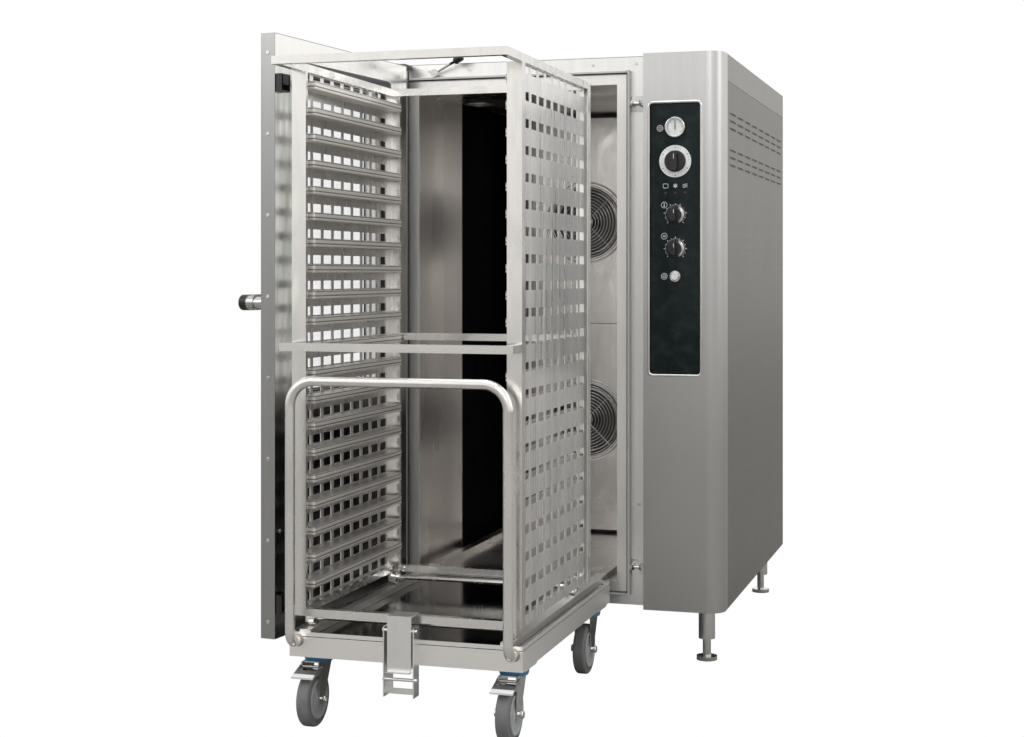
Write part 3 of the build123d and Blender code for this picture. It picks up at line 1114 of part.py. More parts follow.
def rack_sides():
    """Perforated side sheets and the pressed ledges that trays slide on."""
    panels, ledges = [], []
    y0, y1 = rack_front_y + POST_SHEET, rack_back_y - POST_SHEET
    z0, z1 = rack_bottom, rack_top - RACK_TUBE
    middle = (y0 + y1) / 2
    hole_length = hole_pitch - HOLE_BRIDGE
    first = middle - hole_pitch * (HOLE_COLUMNS - 1) / 2
    outer = RACK_WIDTH / 2 - PANEL_INSET
    for side in (-1, 1):
        xa, xb = sorted((side * outer, side * (outer - PANEL_SHEET)))
        holes = []
        for row in range(LEVELS + 1):
            z = first_row_z + row * level_pitch
            for i in range(HOLE_COLUMNS):
                y = first + i * hole_pitch
                holes.append(block(xa - 1, xb + 1, y - hole_length / 2, y + hole_length / 2,
                                   z - HOLE_HEIGHT / 2, z + HOLE_HEIGHT / 2))
        panels.append(block(xa, xb, y0, y1, z0, z1).cut(*holes))
        for level in range(1, LEVELS + 1):
            top = first_row_z + level * level_pitch - HOLE_HEIGHT / 2 - LEDGE_DROP
            ledges.append(ledge(side, outer - PANEL_SHEET, top))
    node("rack_side_panels", *panels)
    node("tray_ledges", *ledges)


def ledge(side, wall, top):
    """Channel pressed against the side sheet: shelf, inner face and lower flange."""
    y0, y1 = rack_front_y + POST_DEPTH, rack_back_y - POST_DEPTH
    s = LEDGE_SHEET
    xa, xb = sorted((side * wall, side * (wall - LEDGE_REACH)))
    bar = block(xa, xb, y0, y1, top - LEDGE_HEIGHT, top)
    ca, cb = sorted((side * (wall + 1), side * (wall - LEDGE_REACH + s)))
    return bar - block(ca, cb, y0 - 1, y1 + 1, top - LEDGE_HEIGHT + s, top - s)


# Trolley
def trolley_base():
    """Folded tray with a low rim, the rack's rails, corner plates and caster plates."""
    w, s = base_half, BASE_SHEET
    y0, y1 = base_front_y, base_back_y
    rim = cavity_floor + BASE_LIP
    plates = [block(-w + s, w - s, y0 + s, y1 - s, cavity_floor - s, cavity_floor),
              block(-w, w, y0, y0 + s, base_bottom, rim), block(-w, w, y1 - s, y1, base_bottom, rim)]
    plates += [block(x, x + s, y0 + s, y1 - s, base_bottom, rim) for x in (-w, w - s)]
    c = CORNER_PLATE
    for x, y in caster_places():
        xa = -w + s if x < 0 else w - s - c
        ya = y0 + s if y < (y0 + y1) / 2 else y1 - s - c
        corner = block(xa, xa + c, ya, ya + c, base_bottom, base_bottom + CORNER_PLATE_THICK)
        h = CASTER_PLATE / 2
        top = base_bottom
        plate = block(x - h, x + h, y - h, y + h, top - CASTER_PLATE_THICK, top)
        pin_bottom = top - CASTER_PLATE_THICK - SWIVEL_HEIGHT - FORK_PLATE
        stud = rod((x, y, pin_bottom), (0, 0, 1), SWIVEL_PIN, top - pin_bottom - 1)
        plates += [corner, fuse(plate, stud)]
    rails = [block(side * roller_x - RAIL_WIDTH / 2, side * roller_x + RAIL_WIDTH / 2,
                   y0 + s, y1 - s, cavity_floor, rail_top) for side in (-1, 1)]
    rails += [block(side * roller_x - RAIL_WIDTH / 2, side * roller_x + RAIL_WIDTH / 2,
                    y1 - s, SHEET - RUN_GAP, rim, rail_top) for side in (-1, 1)]
    left = fuse(rails[0], rails[2])
    right = fuse(rails[1], rails[3])
    node("trolley_base", left, right, *plates)


def caster_places():
    """X and Y of the four swivel axes: front left, front right, rear left, rear right."""
    ys = (base_front_y + CASTER_INSET, base_back_y - CASTER_INSET)
    return [(x, y) for y in ys for x in (-caster_x, caster_x)]


def push_handle():
    """One bent tube: out of the base's front, up, across and back down."""
    half = base_half - HANDLE_FROM_SIDE
    y0 = base_front_y
    y = y0 - HANDLE_STANDOFF
    foot, top = base_bottom + HANDLE_FOOT_RISE, base_bottom + HANDLE_HEIGHT
    points = [(-half, y0, foot), (-half, y, foot), (-half, y, top),
              (half, y, top), (half, y, foot), (half, y0, foot)]
    bends = [HANDLE_FOOT_BEND, HANDLE_BEND, HANDLE_BEND, HANDLE_FOOT_BEND]
    path = FilletPolyline(*points, radius=bends)
    section = Plane(origin=points[0], z_dir=(0, -1, 0)) * Circle(HANDLE_TUBE_RADIUS)
    node("push_handle", sweep(section, path))


def dock():
    """Channel bracket on the base's front and the foot lever that hooks over the rack."""
    w, s = BRACKET_WIDTH / 2, BRACKET_SHEET
    back = base_front_y
    front = back - BRACKET_DEPTH
    z0, z1 = bracket_bottom, rack_bottom - BRACKET_TOP_GAP
    bracket = block(-w, w, front, back, z0, z1) - block(-w + s, w - s, front - 1, back - s, z0 - 1, z1 + 1)
    ww, wh = BRACKET_WINDOW
    sill = z0 + BRACKET_WINDOW_SILL
    bracket -= block(-ww / 2, ww / 2, back - s - 1, back + 1, sill, sill + wh)
    pin_y = front + DOCK_PIN_FROM_FRONT
    lower = rod((-w - DOCK_PIN_END, pin_y, z0 + LOWER_PIN_RISE), (1, 0, 0), DOCK_PIN_RADIUS,
                2 * (w + DOCK_PIN_END))
    sides = rod((-w - 1, pin_y, dock_pin_z), (1, 0, 0), DOCK_PIN_RADIUS + PIN_GAP, 2 * w + 2)
    node("dock_bracket", fuse(bracket, lower) - sides)

    pin = rod((-w - DOCK_PIN_END, pin_y, dock_pin_z), (1, 0, 0), DOCK_PIN_RADIUS, 2 * (w + DOCK_PIN_END))
    half = HOOK_WIDTH / 2
    hook_z = rack_bottom + RACK_BOTTOM_TUBE + HOOK_GAP
    p = LEVER_PLATE
    plate_y0 = pin_y - DOCK_PIN_RADIUS - p
    hook = block(-half, half, plate_y0, rack_front_y + HOOK_REACH, hook_z, hook_z + HOOK_THICK)
    web = fuse(block(-half, half, plate_y0, plate_y0 + p, lever_pedal_z, hook_z), pin,
               block(-half, half, plate_y0 + p, pin_y, dock_pin_z - 2, dock_pin_z + 2))
    pedal = block(-half, half, plate_y0 - PEDAL_REACH, plate_y0, lever_pedal_z, lever_pedal_z + HOOK_THICK)
    node("dock_lever", hook, web, pedal)


def casters():
    """Swivelling forks with trailing wheels; the front pair has brake pedals."""
    names = ("front_left", "front_right", "rear_left", "rear_right")
    outer = WHEEL_WIDTH / 2 + FORK_GAP + FORK_PLATE
    for name, (x, y) in zip(names, caster_places()):
        pivot = brake_pivot(y - CASTER_TRAIL)
        fork = caster_fork(x, y, outer)
        if name.startswith("front"):
            fork -= rod((x - outer - 1, *pivot), (1, 0, 0), BRAKE_PIN + PIN_GAP, 2 * outer + 2)
            node(f"brake_pedal_{name}", brake_pedal(x, pivot, outer))
        node(f"caster_fork_{name}", fork)
        node(f"caster_wheel_{name}", caster_wheel(x, y - CASTER_TRAIL))


def caster_fork(x, y, outer):
    """Swivel head, crown, two side plates and the axle."""
    wheel_y = y - CASTER_TRAIL
    head = rod((x, y, crown_z), (0, 0, 1), SWIVEL_RADIUS, SWIVEL_HEIGHT - RUN_GAP)
    crown = block(x - outer, x + outer, wheel_y - FORK_WIDTH / 4, y + SWIVEL_RADIUS * FORK_TOP_SHARE,
                  crown_z - FORK_PLATE, crown_z)
    sides = [fork_side(xa, y, wheel_y) for xa in (x - outer, x + outer - FORK_PLATE)]
    axle = rod((x - outer - AXLE_END, wheel_y, wheel_radius), (1, 0, 0), CASTER_AXLE, 2 * (outer + AXLE_END))
    low = crown_z - FORK_PLATE - 1
    stud = rod((x, y, low), (0, 0, 1), SWIVEL_PIN + PIN_GAP, SWIVEL_HEIGHT + FORK_PLATE + 2)
    return fuse(head, crown, *sides, axle) - stud


def fork_side(xa, y, wheel_y):
    """Side plate of a fork, wide under the crown and narrow at the axle."""
    half = FORK_WIDTH / 2
    tip = half * FORK_TIP_SHARE
    outline = Polyline((wheel_y - half, crown_z), (y + SWIVEL_RADIUS * FORK_TOP_SHARE, crown_z),
                       (wheel_y + tip, wheel_radius - tip), (wheel_y - tip, wheel_radius - tip), close=True)
    face = make_face(Plane.YZ * outline)
    return Pos(xa, 0, 0) * extrude(face, FORK_PLATE, dir=(1, 0, 0))


def caster_wheel(x, y):
    """Wheel with a rounded tread and a hub that is wider than the tyre."""
    tyre = rod((x - WHEEL_WIDTH / 2, y, wheel_radius), (1, 0, 0), wheel_radius, WHEEL_WIDTH)
    tyre = fillet(tyre.edges().filter_by(GeomType.CIRCLE), TREAD_ROUND)
    half = WHEEL_WIDTH / 2 + FORK_GAP - RUN_GAP
    hub = rod((x - half, y, wheel_radius), (1, 0, 0), CASTER_AXLE * HUB_SHARE, 2 * half)
    bore = rod((x - half - 1, y, wheel_radius), (1, 0, 0), CASTER_AXLE + PIN_GAP, 2 * half + 2)
    return fuse(tyre, hub) - bore


def brake_pivot(wheel_y):
    """Y and Z of a brake pedal's pin."""
    return wheel_y - FORK_WIDTH / 4, crown_z - BRAKE_DROP


def brake_pedal(x, pivot, outer):
    """Foot pedal that hangs on the fork's front edge and slants down over the wheel."""
    py, pz = pivot
    reach = outer + BRAKE_SIDE_GAP
    half, margin = BRAKE_ARM_THICK / 2, BRAKE_PIN + BRAKE_ARM_MARGIN
    pin = rod((x - reach - BRAKE_ARM_THICK, py, pz), (1, 0, 0), BRAKE_PIN, 2 * (reach + BRAKE_ARM_THICK))
    arms = [block(arm_x - half, arm_x + half, py - BRAKE_ARM * BRAKE_ARM_SHARE, py + margin,
                  pz - margin, pz + margin) for arm_x in (x - reach, x + reach)]
    plate = block(x - reach - half, x + reach + half, py - BRAKE_ARM, py - BRAKE_ARM * BRAKE_PLATE_SHARE,
                  pz + 1, pz + 1 + BRAKE_THICK)
    return fuse(pin, *arms, plate).rotate(Axis((x, py, pz), (1, 0, 0)), BRAKE_SLANT)


base_frame()
legs()
doorway()
cavity()
insulation()
baffle()
for place_name in fan_z:
    fan(place_name)
heaters_and_motors()
casing()
service_inlets()
column()
control_panel()
controls()
vent()
cavity_lamps()
casing_screws()
keepers_and_hinges()
door()
handle_and_latches()
rack_frame()
rack_wheels()
rack_sides()
trolley_base()
push_handle()
dock()
casters()

# The origin goes to the middle of the footprint, on the ground
footprint = Compound(list(nodes.values())).bounding_box()
shift = (-(footprint.min.X + footprint.max.X) / 2, -(footprint.min.Y + footprint.max.Y) / 2, 0)
for name, shape in nodes.items():
    export_step(Pos(*shift) * shape, f"parts/{name}.step")
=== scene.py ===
import math

import bmesh
import bpy
import numpy as np
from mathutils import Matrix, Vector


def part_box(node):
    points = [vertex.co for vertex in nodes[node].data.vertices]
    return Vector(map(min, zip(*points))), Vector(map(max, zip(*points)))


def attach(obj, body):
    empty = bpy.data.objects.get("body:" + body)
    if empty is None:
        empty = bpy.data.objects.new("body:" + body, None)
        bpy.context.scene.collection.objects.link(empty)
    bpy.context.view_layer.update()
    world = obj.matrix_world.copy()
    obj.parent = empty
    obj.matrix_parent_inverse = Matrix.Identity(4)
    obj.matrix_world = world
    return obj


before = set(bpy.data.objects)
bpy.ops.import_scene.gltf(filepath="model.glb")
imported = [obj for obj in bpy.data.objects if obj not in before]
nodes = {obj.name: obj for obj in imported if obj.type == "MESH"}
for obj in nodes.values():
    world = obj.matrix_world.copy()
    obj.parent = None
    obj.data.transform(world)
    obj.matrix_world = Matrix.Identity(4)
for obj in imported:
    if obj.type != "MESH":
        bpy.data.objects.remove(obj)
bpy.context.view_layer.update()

X, Y, Z = 0, 1, 2
FORWARD = (0, -1, 0)

# The doorway's face plate gives the place of the middle of the doorway in this frame
FACE_LEFT = -0.375
SHIFT_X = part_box("front_frame")[0][X] - FACE_LEFT
SHIFT_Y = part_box("front_frame")[0][Y]

# Camera of the photograph
CAMERA_PLACE = (1.4228, -4.7296, 1.1347)
CAMERA_YAW = 16.9223
FOCAL_LENGTH = 57.84
SENSOR = 36.0
IMAGE_WIDTH = 1024
IMAGE_HEIGHT = 737
HORIZON_ROW = 273.67


def here(x, y, z):
    """Point given from the middle of the doorway, in the frame of the model."""
    return (x + SHIFT_X, y + SHIFT_Y, z)


def reach(name, axis):
    """Where a CAD node begins and ends along an axis, from the middle of the doorway."""
    shift = (SHIFT_X, SHIFT_Y, 0.0)[axis]
    return [round(float(corner[axis] - shift), 5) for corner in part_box(name)]


def middle(name, axis):
    """Middle of a CAD node along an axis, to a tenth of a millimetre."""
    return round(sum(reach(name, axis)) / 2, 4)


# Oven body
SIDE_X = reach("side_panel_right", X)[1]
BODY_DEPTH = reach("rear_panel", Y)[1]
BODY_TOP = reach("top_cover", Z)[1]
BAFFLE_X = reach("baffle_panels", X)[1]
BAFFLE_Y = reach("baffle_panels", Y)[0]
BAFFLE_SPLIT, BAFFLE_GAP = 0.9615, 0.002
FAN_Z = {level: middle(f"fan_wheel_{level}", Z) for level in ("lower", "upper")}
RIM_X = reach("cavity_flange", X)[1]
RIM_Z = middle("cavity_flange", Z)
RIM_HALF = reach("cavity_flange", Z)[1] - RIM_Z
KEEPER_Z = {"low": 0.275, "high": 1.633}
KEEPER_PIN_Y, KEEPER_PIN_ENDS = -0.013, ((0.3552, 1), (0.3838, -1))
MOTOR_COVER = (-0.22, 0.22, 0.40, 1.54)
LOUVRE_DROPS, LOUVRE_PITCH = (0.168, 0.275), 0.022

# Controls: the column's sheet laps over the edge of the glass
GLASS_LAP = 0.002
COLUMN_FACE = reach("control_column", Y)[0]
GLASS_FACE = reach("control_glass", Y)[0]
GLASS_LEFT, GLASS_RIGHT = (x + lap for x, lap in zip(reach("control_glass", X), (GLASS_LAP, -GLASS_LAP)))
GLASS_LOW, GLASS_HIGH = (z + lap for z, lap in zip(reach("control_glass", Z), (GLASS_LAP, -GLASS_LAP)))
CONTROL_X = middle("control_glass", X)
GAUGE_RADIUS = 0.029
GAUGE_FACE = reach("dial_plates", Y)[0]
GAUGE_Z = reach("dial_plates", Z)[1] - GAUGE_RADIUS
TIMER_Z, TEMPERATURE_Z = middle("timer_knob", Z), middle("temperature_knob", Z)
STEAM_Z, BUTTON_Z = middle("steam_knob", Z), middle("start_button", Z)
LAMP_Z, LAMP_PITCH = middle("indicator_lamps", Z), 0.0285

# Door: its places are those of the closed door, which then turns on its hinge pins
HINGE_X, HINGE_Y = -0.365, -0.055
DOOR_OPEN = 96.2
DOOR_FRONT, DOOR_BACK = -0.063, -0.021
DOOR_EDGE = 0.395
# Dark strip on the door's hinge edge: a painted shadow of the gap between door and face plate.
HINGE_SHADOW_STRIP_X, HINGE_SHADOW_STRIP_ENDS = -0.3735, (0.190, 1.755)
WINDOW = (-0.175, 0.255, 0.815, 1.665)
HANDLE_X, HANDLE_Z = 0.335, 1.058
turned = -math.radians(DOOR_OPEN)
door_across = np.array((math.cos(turned), math.sin(turned), 0.0))
door_outward = np.array((math.sin(turned), -math.cos(turned), 0.0))

# Trolley: a caster's swivel stands ahead of its wheel by the trail
CASTER_TRAIL = 0.040
CASTERS = {f"{end}_{side}": (middle(f"caster_wheel_{end}_{side}", X),
                             middle(f"caster_wheel_{end}_{side}", Y) + CASTER_TRAIL)
           for end in ("front", "rear") for side in ("left", "right")}
AXLE_Z = middle("caster_wheel_front_left", Z)
CROWN_Z = 0.163
MOUNT_BOTTOM = 0.177
TROLLEY_FLOOR = 0.232
HANDLE_TUBE_X, HANDLE_TUBE_Z = 0.281, 0.222

# Rack: evenly spaced ledges
LEVELS, LEDGE_WIDTH, LEDGE_HEIGHT = 20, 0.040, 0.020
LEDGE_X = reach("tray_ledges", X)[1] - LEDGE_WIDTH / 2
LEDGE_LOW, LEDGE_TOP = reach("tray_ledges", Z)
LEDGE_PITCH = (LEDGE_TOP - LEDGE_LOW - LEDGE_HEIGHT) / (LEVELS - 1)


def opened(x, y, z):
    """Point of the closed door, where it is now that the door stands open."""
    across, inward = x - HINGE_X, y - HINGE_Y
    return (HINGE_X + across * door_across[X] - inward * door_outward[X],
            HINGE_Y + across * door_across[Y] - inward * door_outward[Y], z)


# Shader arithmetic
class Value:
    """A shader socket that ordinary arithmetic builds on."""

    def __init__(self, shader, socket):
        self.shader, self.socket = shader, socket

    def __add__(self, other):
        return self.shader.math("ADD", self, other)

    def __sub__(self, other):
        return self.shader.math("SUBTRACT", self, other)

    def __mul__(self, other):
        return self.shader.math("MULTIPLY", self, other)

    __radd__, __rmul__ = __add__, __mul__

    def __rsub__(self, other):
        return self.shader.math("SUBTRACT", other, self)

    def clamp(self, low, high):
        return self.shader.math("MINIMUM", self.shader.math("MAXIMUM", self, low), high)


class Shader:
    """One material. Its patterns are in object coordinates; its constants are on the shader's own
    sockets, named as those are, with _ for a space."""

    def __init__(self, name, color=(0.8, 0.8, 0.8), **constants):
        self.material = bpy.data.materials.new(name)
        self.material.use_nodes = True
        self.tree = self.material.node_tree
        self.surface = self.tree.nodes["Principled BSDF"]
        self.surface.inputs["Base Color"].default_value = (*color, 1.0)
        self.set(**constants)

    def node(self, kind, inputs=(), out=0, **settings):
        """Adds a node, sets its options, links or fills its inputs and returns one output."""
        added = self.tree.nodes.new(kind)
        for key, value in settings.items():
            setattr(added, key, value)
        for key, value in dict(inputs).items():
            self.feed(added.inputs[key], value)
        return Value(self, added.outputs[out])

    def feed(self, socket, value):
        if isinstance(value, Value):
            self.tree.links.new(value.socket, socket)
        else:
            socket.default_value = value

    def math(self, operation, first, second=0.0):
        return self.node("ShaderNodeMath", {0: first, 1: second}, operation=operation)

    def place(self, scale=(1, 1, 1), offset=(0, 0, 0)):
        """Object coordinates, scaled along each axis."""
        spot = self.node("ShaderNodeTexCoord", out=3)
        return self.node("ShaderNodeMapping", {"Vector": spot, "Scale": scale, "Location": offset})

    def axes(self):
        """The three object coordinates, each from the middle of the doorway."""
        split = self.node("ShaderNodeSeparateXYZ", {0: self.place(offset=(-SHIFT_X, -SHIFT_Y, 0))})
        return [Value(self, output) for output in split.socket.node.outputs]

    def noise(self, vector, scale=5.0, detail=2.0, rough=0.5, distortion=0.0):
        return self.node("ShaderNodeTexNoise", {"Vector": vector, "Scale": scale, "Detail": detail,
                                                "Roughness": rough, "Distortion": distortion})

    def span(self, value, low, high, to_low, to_high):
        """Maps low..high to to_low..to_high and holds it there."""
        return self.node("ShaderNodeMapRange", {"Value": value, "From Min": low, "From Max": high,
                                                "To Min": to_low, "To Max": to_high})

    def mix(self, factor, first, second):
        """Colour that goes from first to second."""
        first, second = (tone if isinstance(tone, Value) else (*tone, 1.0) for tone in (first, second))
        return self.node("ShaderNodeMix", {0: factor, 6: first, 7: second}, out=2, data_type="RGBA")

    def set(self, **values):
        """Links or sets sockets of the surface."""
        for key, value in values.items():
            self.feed(self.surface.inputs[key.replace("_", " ")], value)
        return self

    def bump(self, height, strength, distance):
        normal = self.node("ShaderNodeBump", {"Height": height, "Strength": strength, "Distance": distance})
        return self.set(Normal=normal)


# Materials
def brushed(name, color, rough, grain=(900, 900, 12), low=None):
    """Ground steel: fine streaks along the small axis of grain, with faint cloudy wiping marks; with
    low, the colour changes to low towards the ground, which is painted shade."""
    steel = Shader(name, color, Metallic=1.0)
    lines = steel.noise(steel.place(grain), scale=1.0, detail=3.0, rough=0.6)
    broad = steel.noise(steel.place(tuple(axis / 12 for axis in grain)), scale=1.0, detail=2.0)
    cloud = steel.noise(steel.place((3, 3, 2)), scale=1.6, detail=3.0, distortion=0.6)
    darker = tuple(channel * 0.92 for channel in color)
    ground = steel.mix(steel.span(lines * 0.5 + broad * 0.5, 0.35, 0.65, 0, 1), darker, color)
    # Painted shade: the colour darkens to low towards the ground.
    if low:
        ground = steel.mix(steel.span(steel.axes()[Z], 0.6, 1.7, 0, 1), low, ground)
    steel.set(Base_Color=ground)
    steel.set(Roughness=(rough - 0.05 + lines * 0.10 + cloud * 0.06).clamp(0.05, 0.9))
    return steel.bump(lines, 0.12, 0.0002).material


def polished(name, color, rough, wave=0.35):
    """Bright rolled sheet: nearly a mirror, a little wavy, with faint smears."""
    steel = Shader(name, color, Metallic=1.0)
    swell = steel.noise(steel.place((1.2, 1.2, 0.8)), scale=2.0, detail=1.0)
    smear = steel.noise(steel.place((6, 6, 2)), scale=2.2, detail=4.0, distortion=1.2)
    tint = tuple(channel * 0.86 for channel in color)
    steel.set(Base_Color=steel.mix(steel.span(smear, 0.3, 0.7, 0, 1), color, tint))
    steel.set(Roughness=steel.span(smear, 0.35, 0.75, rough * 0.7, rough * 1.6))
    return steel.bump(swell, wave, 0.004).material


def banded(name, color, darker, rough, run, levels=None):
    """Bright sheet that carries soft streaks of reflected things, stretched as run says; with levels
    (low, dark up to, plain from), it is dark below and free of streaks above."""
    steel = Shader(name, color, Metallic=1.0)
    streaks = steel.noise(steel.place(run), scale=1.0, detail=2.5, rough=0.6, distortion=0.3)
    fine = steel.noise(steel.place(tuple(axis * 5 for axis in run)), scale=1.0, detail=2.0)
    share = steel.span(streaks * 0.7 + fine * 0.3, 0.42, 0.60, 0, 1)
    if levels:
        low, dark_to, plain_from = levels
        z = steel.axes()[Z]
        share = share * steel.span(z, plain_from, plain_from + 0.02, 1, 0)
    tone = steel.mix(share, color, darker)
    if levels:
        tone = steel.mix(steel.span(z, dark_to, dark_to + 0.12, 0, 1), low, tone)
    steel.set(Base_Color=tone)
    steel.set(Roughness=steel.span(fine, 0.3, 0.7, rough * 0.8, rough * 1.3))
    swell = steel.noise(steel.place((1.2, 1.2, 0.8)), scale=2.0, detail=1.0)
    return steel.bump(swell, 0.2, 0.004).material


def moulded(name, color, rough, grain=1400.0, **constants):
    """Moulded plastic or rubber with a fine skin grain and handled patches."""
    plastic = Shader(name, color, **constants)
    skin = plastic.noise(plastic.place(), scale=grain, detail=1.0)
    worn = plastic.noise(plastic.place(), scale=28.0, detail=3.0)
    lighter = tuple(min(1.0, channel * 1.25 + 0.01) for channel in color)
    plastic.set(Base_Color=plastic.mix(plastic.span(worn, 0.45, 0.75, 0, 1), color, lighter))
    plastic.set(Roughness=plastic.span(worn, 0.3, 0.7, rough * 0.85, min(1.0, rough * 1.15)))
    return plastic.bump(skin, 0.08, 0.0002).material


def glass(name, color, alpha, rough=0.03):
    """Thin pane: mostly clear, with faint wiping marks."""
    clear = Shader(name, color, IOR=1.5)
    smear = clear.noise(clear.place((2, 2, 6)), scale=3.0, detail=4.0, distortion=1.0)
    clear.set(Roughness=clear.span(smear, 0.4, 0.8, rough, rough * 4))
    clear.set(Alpha=clear.span(smear, 0.3, 0.8, alpha, alpha + 0.06))
    return clear.material


def cavity_steel(name, color, rough):
    """Satin sheet of the cavity; the rear of the left wall, towards the fans, is painted near-black as
    painted shade and dark reflection.
    """
    steel = Shader(name, color, IOR=1.01)
    smear = steel.noise(steel.place((2, 2, 0.4)), scale=2.0, detail=1.0)
    x, y, z = steel.axes()
    left_wall = -0.29
    # Painted shade: beyond y 0.40 the left wall turns near-black and non-metallic.
    painted_dark_rear = steel.span(y + smear * 0.01, 0.400, 0.412, 0, 1) * steel.math("LESS_THAN", x, left_wall)
    steel.set(Base_Color=steel.mix(painted_dark_rear, color, (0.006, 0.006, 0.008)))
    steel.set(Metallic=1.0 - painted_dark_rear)
    steel.set(Roughness=steel.span(smear, 0.35, 0.75, rough * 0.8, rough * 1.3))
    return steel.material


def ledge_sheet(name, color, rough):
    """Folded ledges: the height within one level of the rack goes round in steps of the pitch; painted
    shadow lines along the folds are darker bands of it, and its lower part is painted shade."""
    steel = Shader(name, color, Metallic=0.55)
    lines = steel.noise(steel.place((900, 12, 900)), scale=1.0, detail=3.0, rough=0.6)
    x, y, z = steel.axes()
    level = steel.math("FRACT", (z - (LEDGE_LOW + LEDGE_HEIGHT)) * (1 / LEDGE_PITCH) + 10.0)
    # Painted shadow lines: two dark bands on each ledge's face.
    upper = steel.span(level, 0.945, 0.955, 0, 1) * steel.span(level, 0.975, 0.985, 1, 0)
    central = steel.span(level, 0.78, 0.79, 0, 1) * steel.span(level, 0.82, 0.84, 1, 0)
    # Painted shade: the lower part of each level is darker.
    lower = steel.span(level, 0.68, 0.75, 1, 0)
    tone = steel.mix(lower * 0.55, color, (0.25, 0.235, 0.22))
    tone = steel.mix((upper + central).clamp(0, 1) * 0.85, tone, (0.10, 0.092, 0.085))
    steel.set(Base_Color=tone)
    steel.set(Roughness=rough + lines * 0.08)
    return steel.material


def seal_ring(name):
    """Grey silicone of the door seal with a painted shadow line next to the steel rim; the distance from
    the rim is that from a rectangle, the larger one of the two overhangs."""
    # lip is the colour of the painted shadow line along the seal next to the rim.
    lip, silicone = (0.02, 0.02, 0.02), (0.50, 0.495, 0.485)
    skin = Shader(name, (0.5, 0.5, 0.5))
    x, y, z = skin.axes()
    over = skin.math("MAXIMUM", skin.math("ABSOLUTE", x) - RIM_X, skin.math("ABSOLUTE", z - RIM_Z) - RIM_HALF)
    worn = skin.noise(skin.place(), scale=40.0, detail=3.0)
    skin.set(Base_Color=skin.mix(skin.span(over + worn * 0.0006, 0.0030, 0.0038, 0, 1), lip, silicone))
    skin.set(Roughness=skin.span(worn, 0.3, 0.7, 0.40, 0.55))
    return skin.material


def trolley_sheet(name, color, rough):
    """Ground steel whose floor, below the rails, is a glossy mirror painted near-black as painted shade."""
    steel = Shader(name, color, Metallic=1.0)
    lines = steel.noise(steel.place((12, 12, 900)), scale=1.0, detail=3.0, rough=0.6)
    x, y, z = steel.axes()
    # Painted shade: a thin layer at the floor's height turns near-black and glossy.
    above = steel.math("GREATER_THAN", z, TROLLEY_FLOOR - 0.0008)
    floor = above * steel.math("LESS_THAN", z, TROLLEY_FLOOR + 0.0008)
    steel.set(Base_Color=steel.mix(floor, color, (0.040, 0.037, 0.033)))
    steel.set(Roughness=steel.span(floor, 0, 1, rough, 0.10) + lines * 0.05)
    return steel.material


def wool(name, color):
    """Matted mineral fibre."""
    fibre = Shader(name, color, Roughness=0.95)
    tuft = fibre.noise(fibre.place(), scale=60.0, detail=6.0, rough=0.7)
    fibre.set(Base_Color=fibre.mix(tuft, color, tuple(channel * 0.7 for channel in color)))
    return fibre.bump(tuft, 0.6, 0.004).material


def two_tone_and_highlight(name, near, far, point, direction, low, high):
    """Goes from the near finish to the far one along a direction; each finish is
    (colour, metallic, roughness), and low and high are distances from the point. On the knob skirts
    the far, chrome finish is a painted highlight."""
    paint = Shader(name, near[0])
    spot = paint.node("ShaderNodeTexCoord", out=3)
    run = paint.node("ShaderNodeVectorMath", {0: spot, 1: tuple(direction)}, out=1, operation="DOT_PRODUCT")
    share = paint.span(run - float(np.dot(here(*point), direction)), low, high, 0, 1)
    worn = paint.noise(paint.place(), scale=90.0, detail=3.0)
    paint.set(Base_Color=paint.mix(share, near[0], far[0]))
    paint.set(Metallic=paint.span(share, 0, 1, near[1], far[1]))
    paint.set(Roughness=paint.span(share, 0, 1, near[2], far[2]) + worn * 0.06)
    return paint.bump(worn, 0.05, 0.0002).material


sheet = brushed("sheet_steel", (0.93, 0.93, 0.925), 0.30)
door_sheet = brushed("door_sheet_steel", (0.38, 0.38, 0.38), 0.30)
rim_steel = brushed("rim_steel", (0.92, 0.91, 0.895), 0.34)
casing = brushed("casing_steel", (0.243, 0.237, 0.222), 0.38, grain=(900, 12, 900))
roof = brushed("roof_steel", (0.32, 0.315, 0.308), 0.34, grain=(900, 12, 900))
# Painted shade: the column's sheet darkens towards the ground.
column_steel = brushed("column_steel", (0.68, 0.68, 0.68), 0.36, grain=(900, 900, 10),
                       low=(0.43, 0.425, 0.42))
tube = polished("tube_steel", (0.96, 0.945, 0.92), 0.22, wave=0.05)
base_steel = trolley_sheet("base_steel", (0.96, 0.945, 0.925), 0.34)
ledge_steel = ledge_sheet("ledge_steel", (0.93, 0.90, 0.86), 0.30)
weld_steel = brushed("weld_steel", (0.42, 0.38, 0.33), 0.45, grain=(300, 300, 300))
spacer = moulded("pane_spacer", (0.88, 0.88, 0.87), 0.4)
rack_sheet = banded("rack_sheet_steel", (0.99, 0.985, 0.98), (0.86, 0.855, 0.85), 0.30,
                    (0, 15, 0.5))
liner = cavity_steel("liner_steel", (0.62, 0.59, 0.565), 0.30)
baffle_steel = polished("baffle_steel", (0.97, 0.95, 0.935), 0.20)
door_liner = banded("door_liner_steel", (0.96, 0.96, 0.94), (0.58, 0.60, 0.57), 0.20, (9, 9, 1.2),
                    levels=((0.16, 0.17, 0.165), 0.70, 1.68))
bright = polished("bright_steel", (0.76, 0.76, 0.75), 0.14, wave=0.1)
chrome = polished("chrome_plate", (0.80, 0.80, 0.81), 0.07, wave=0.05)
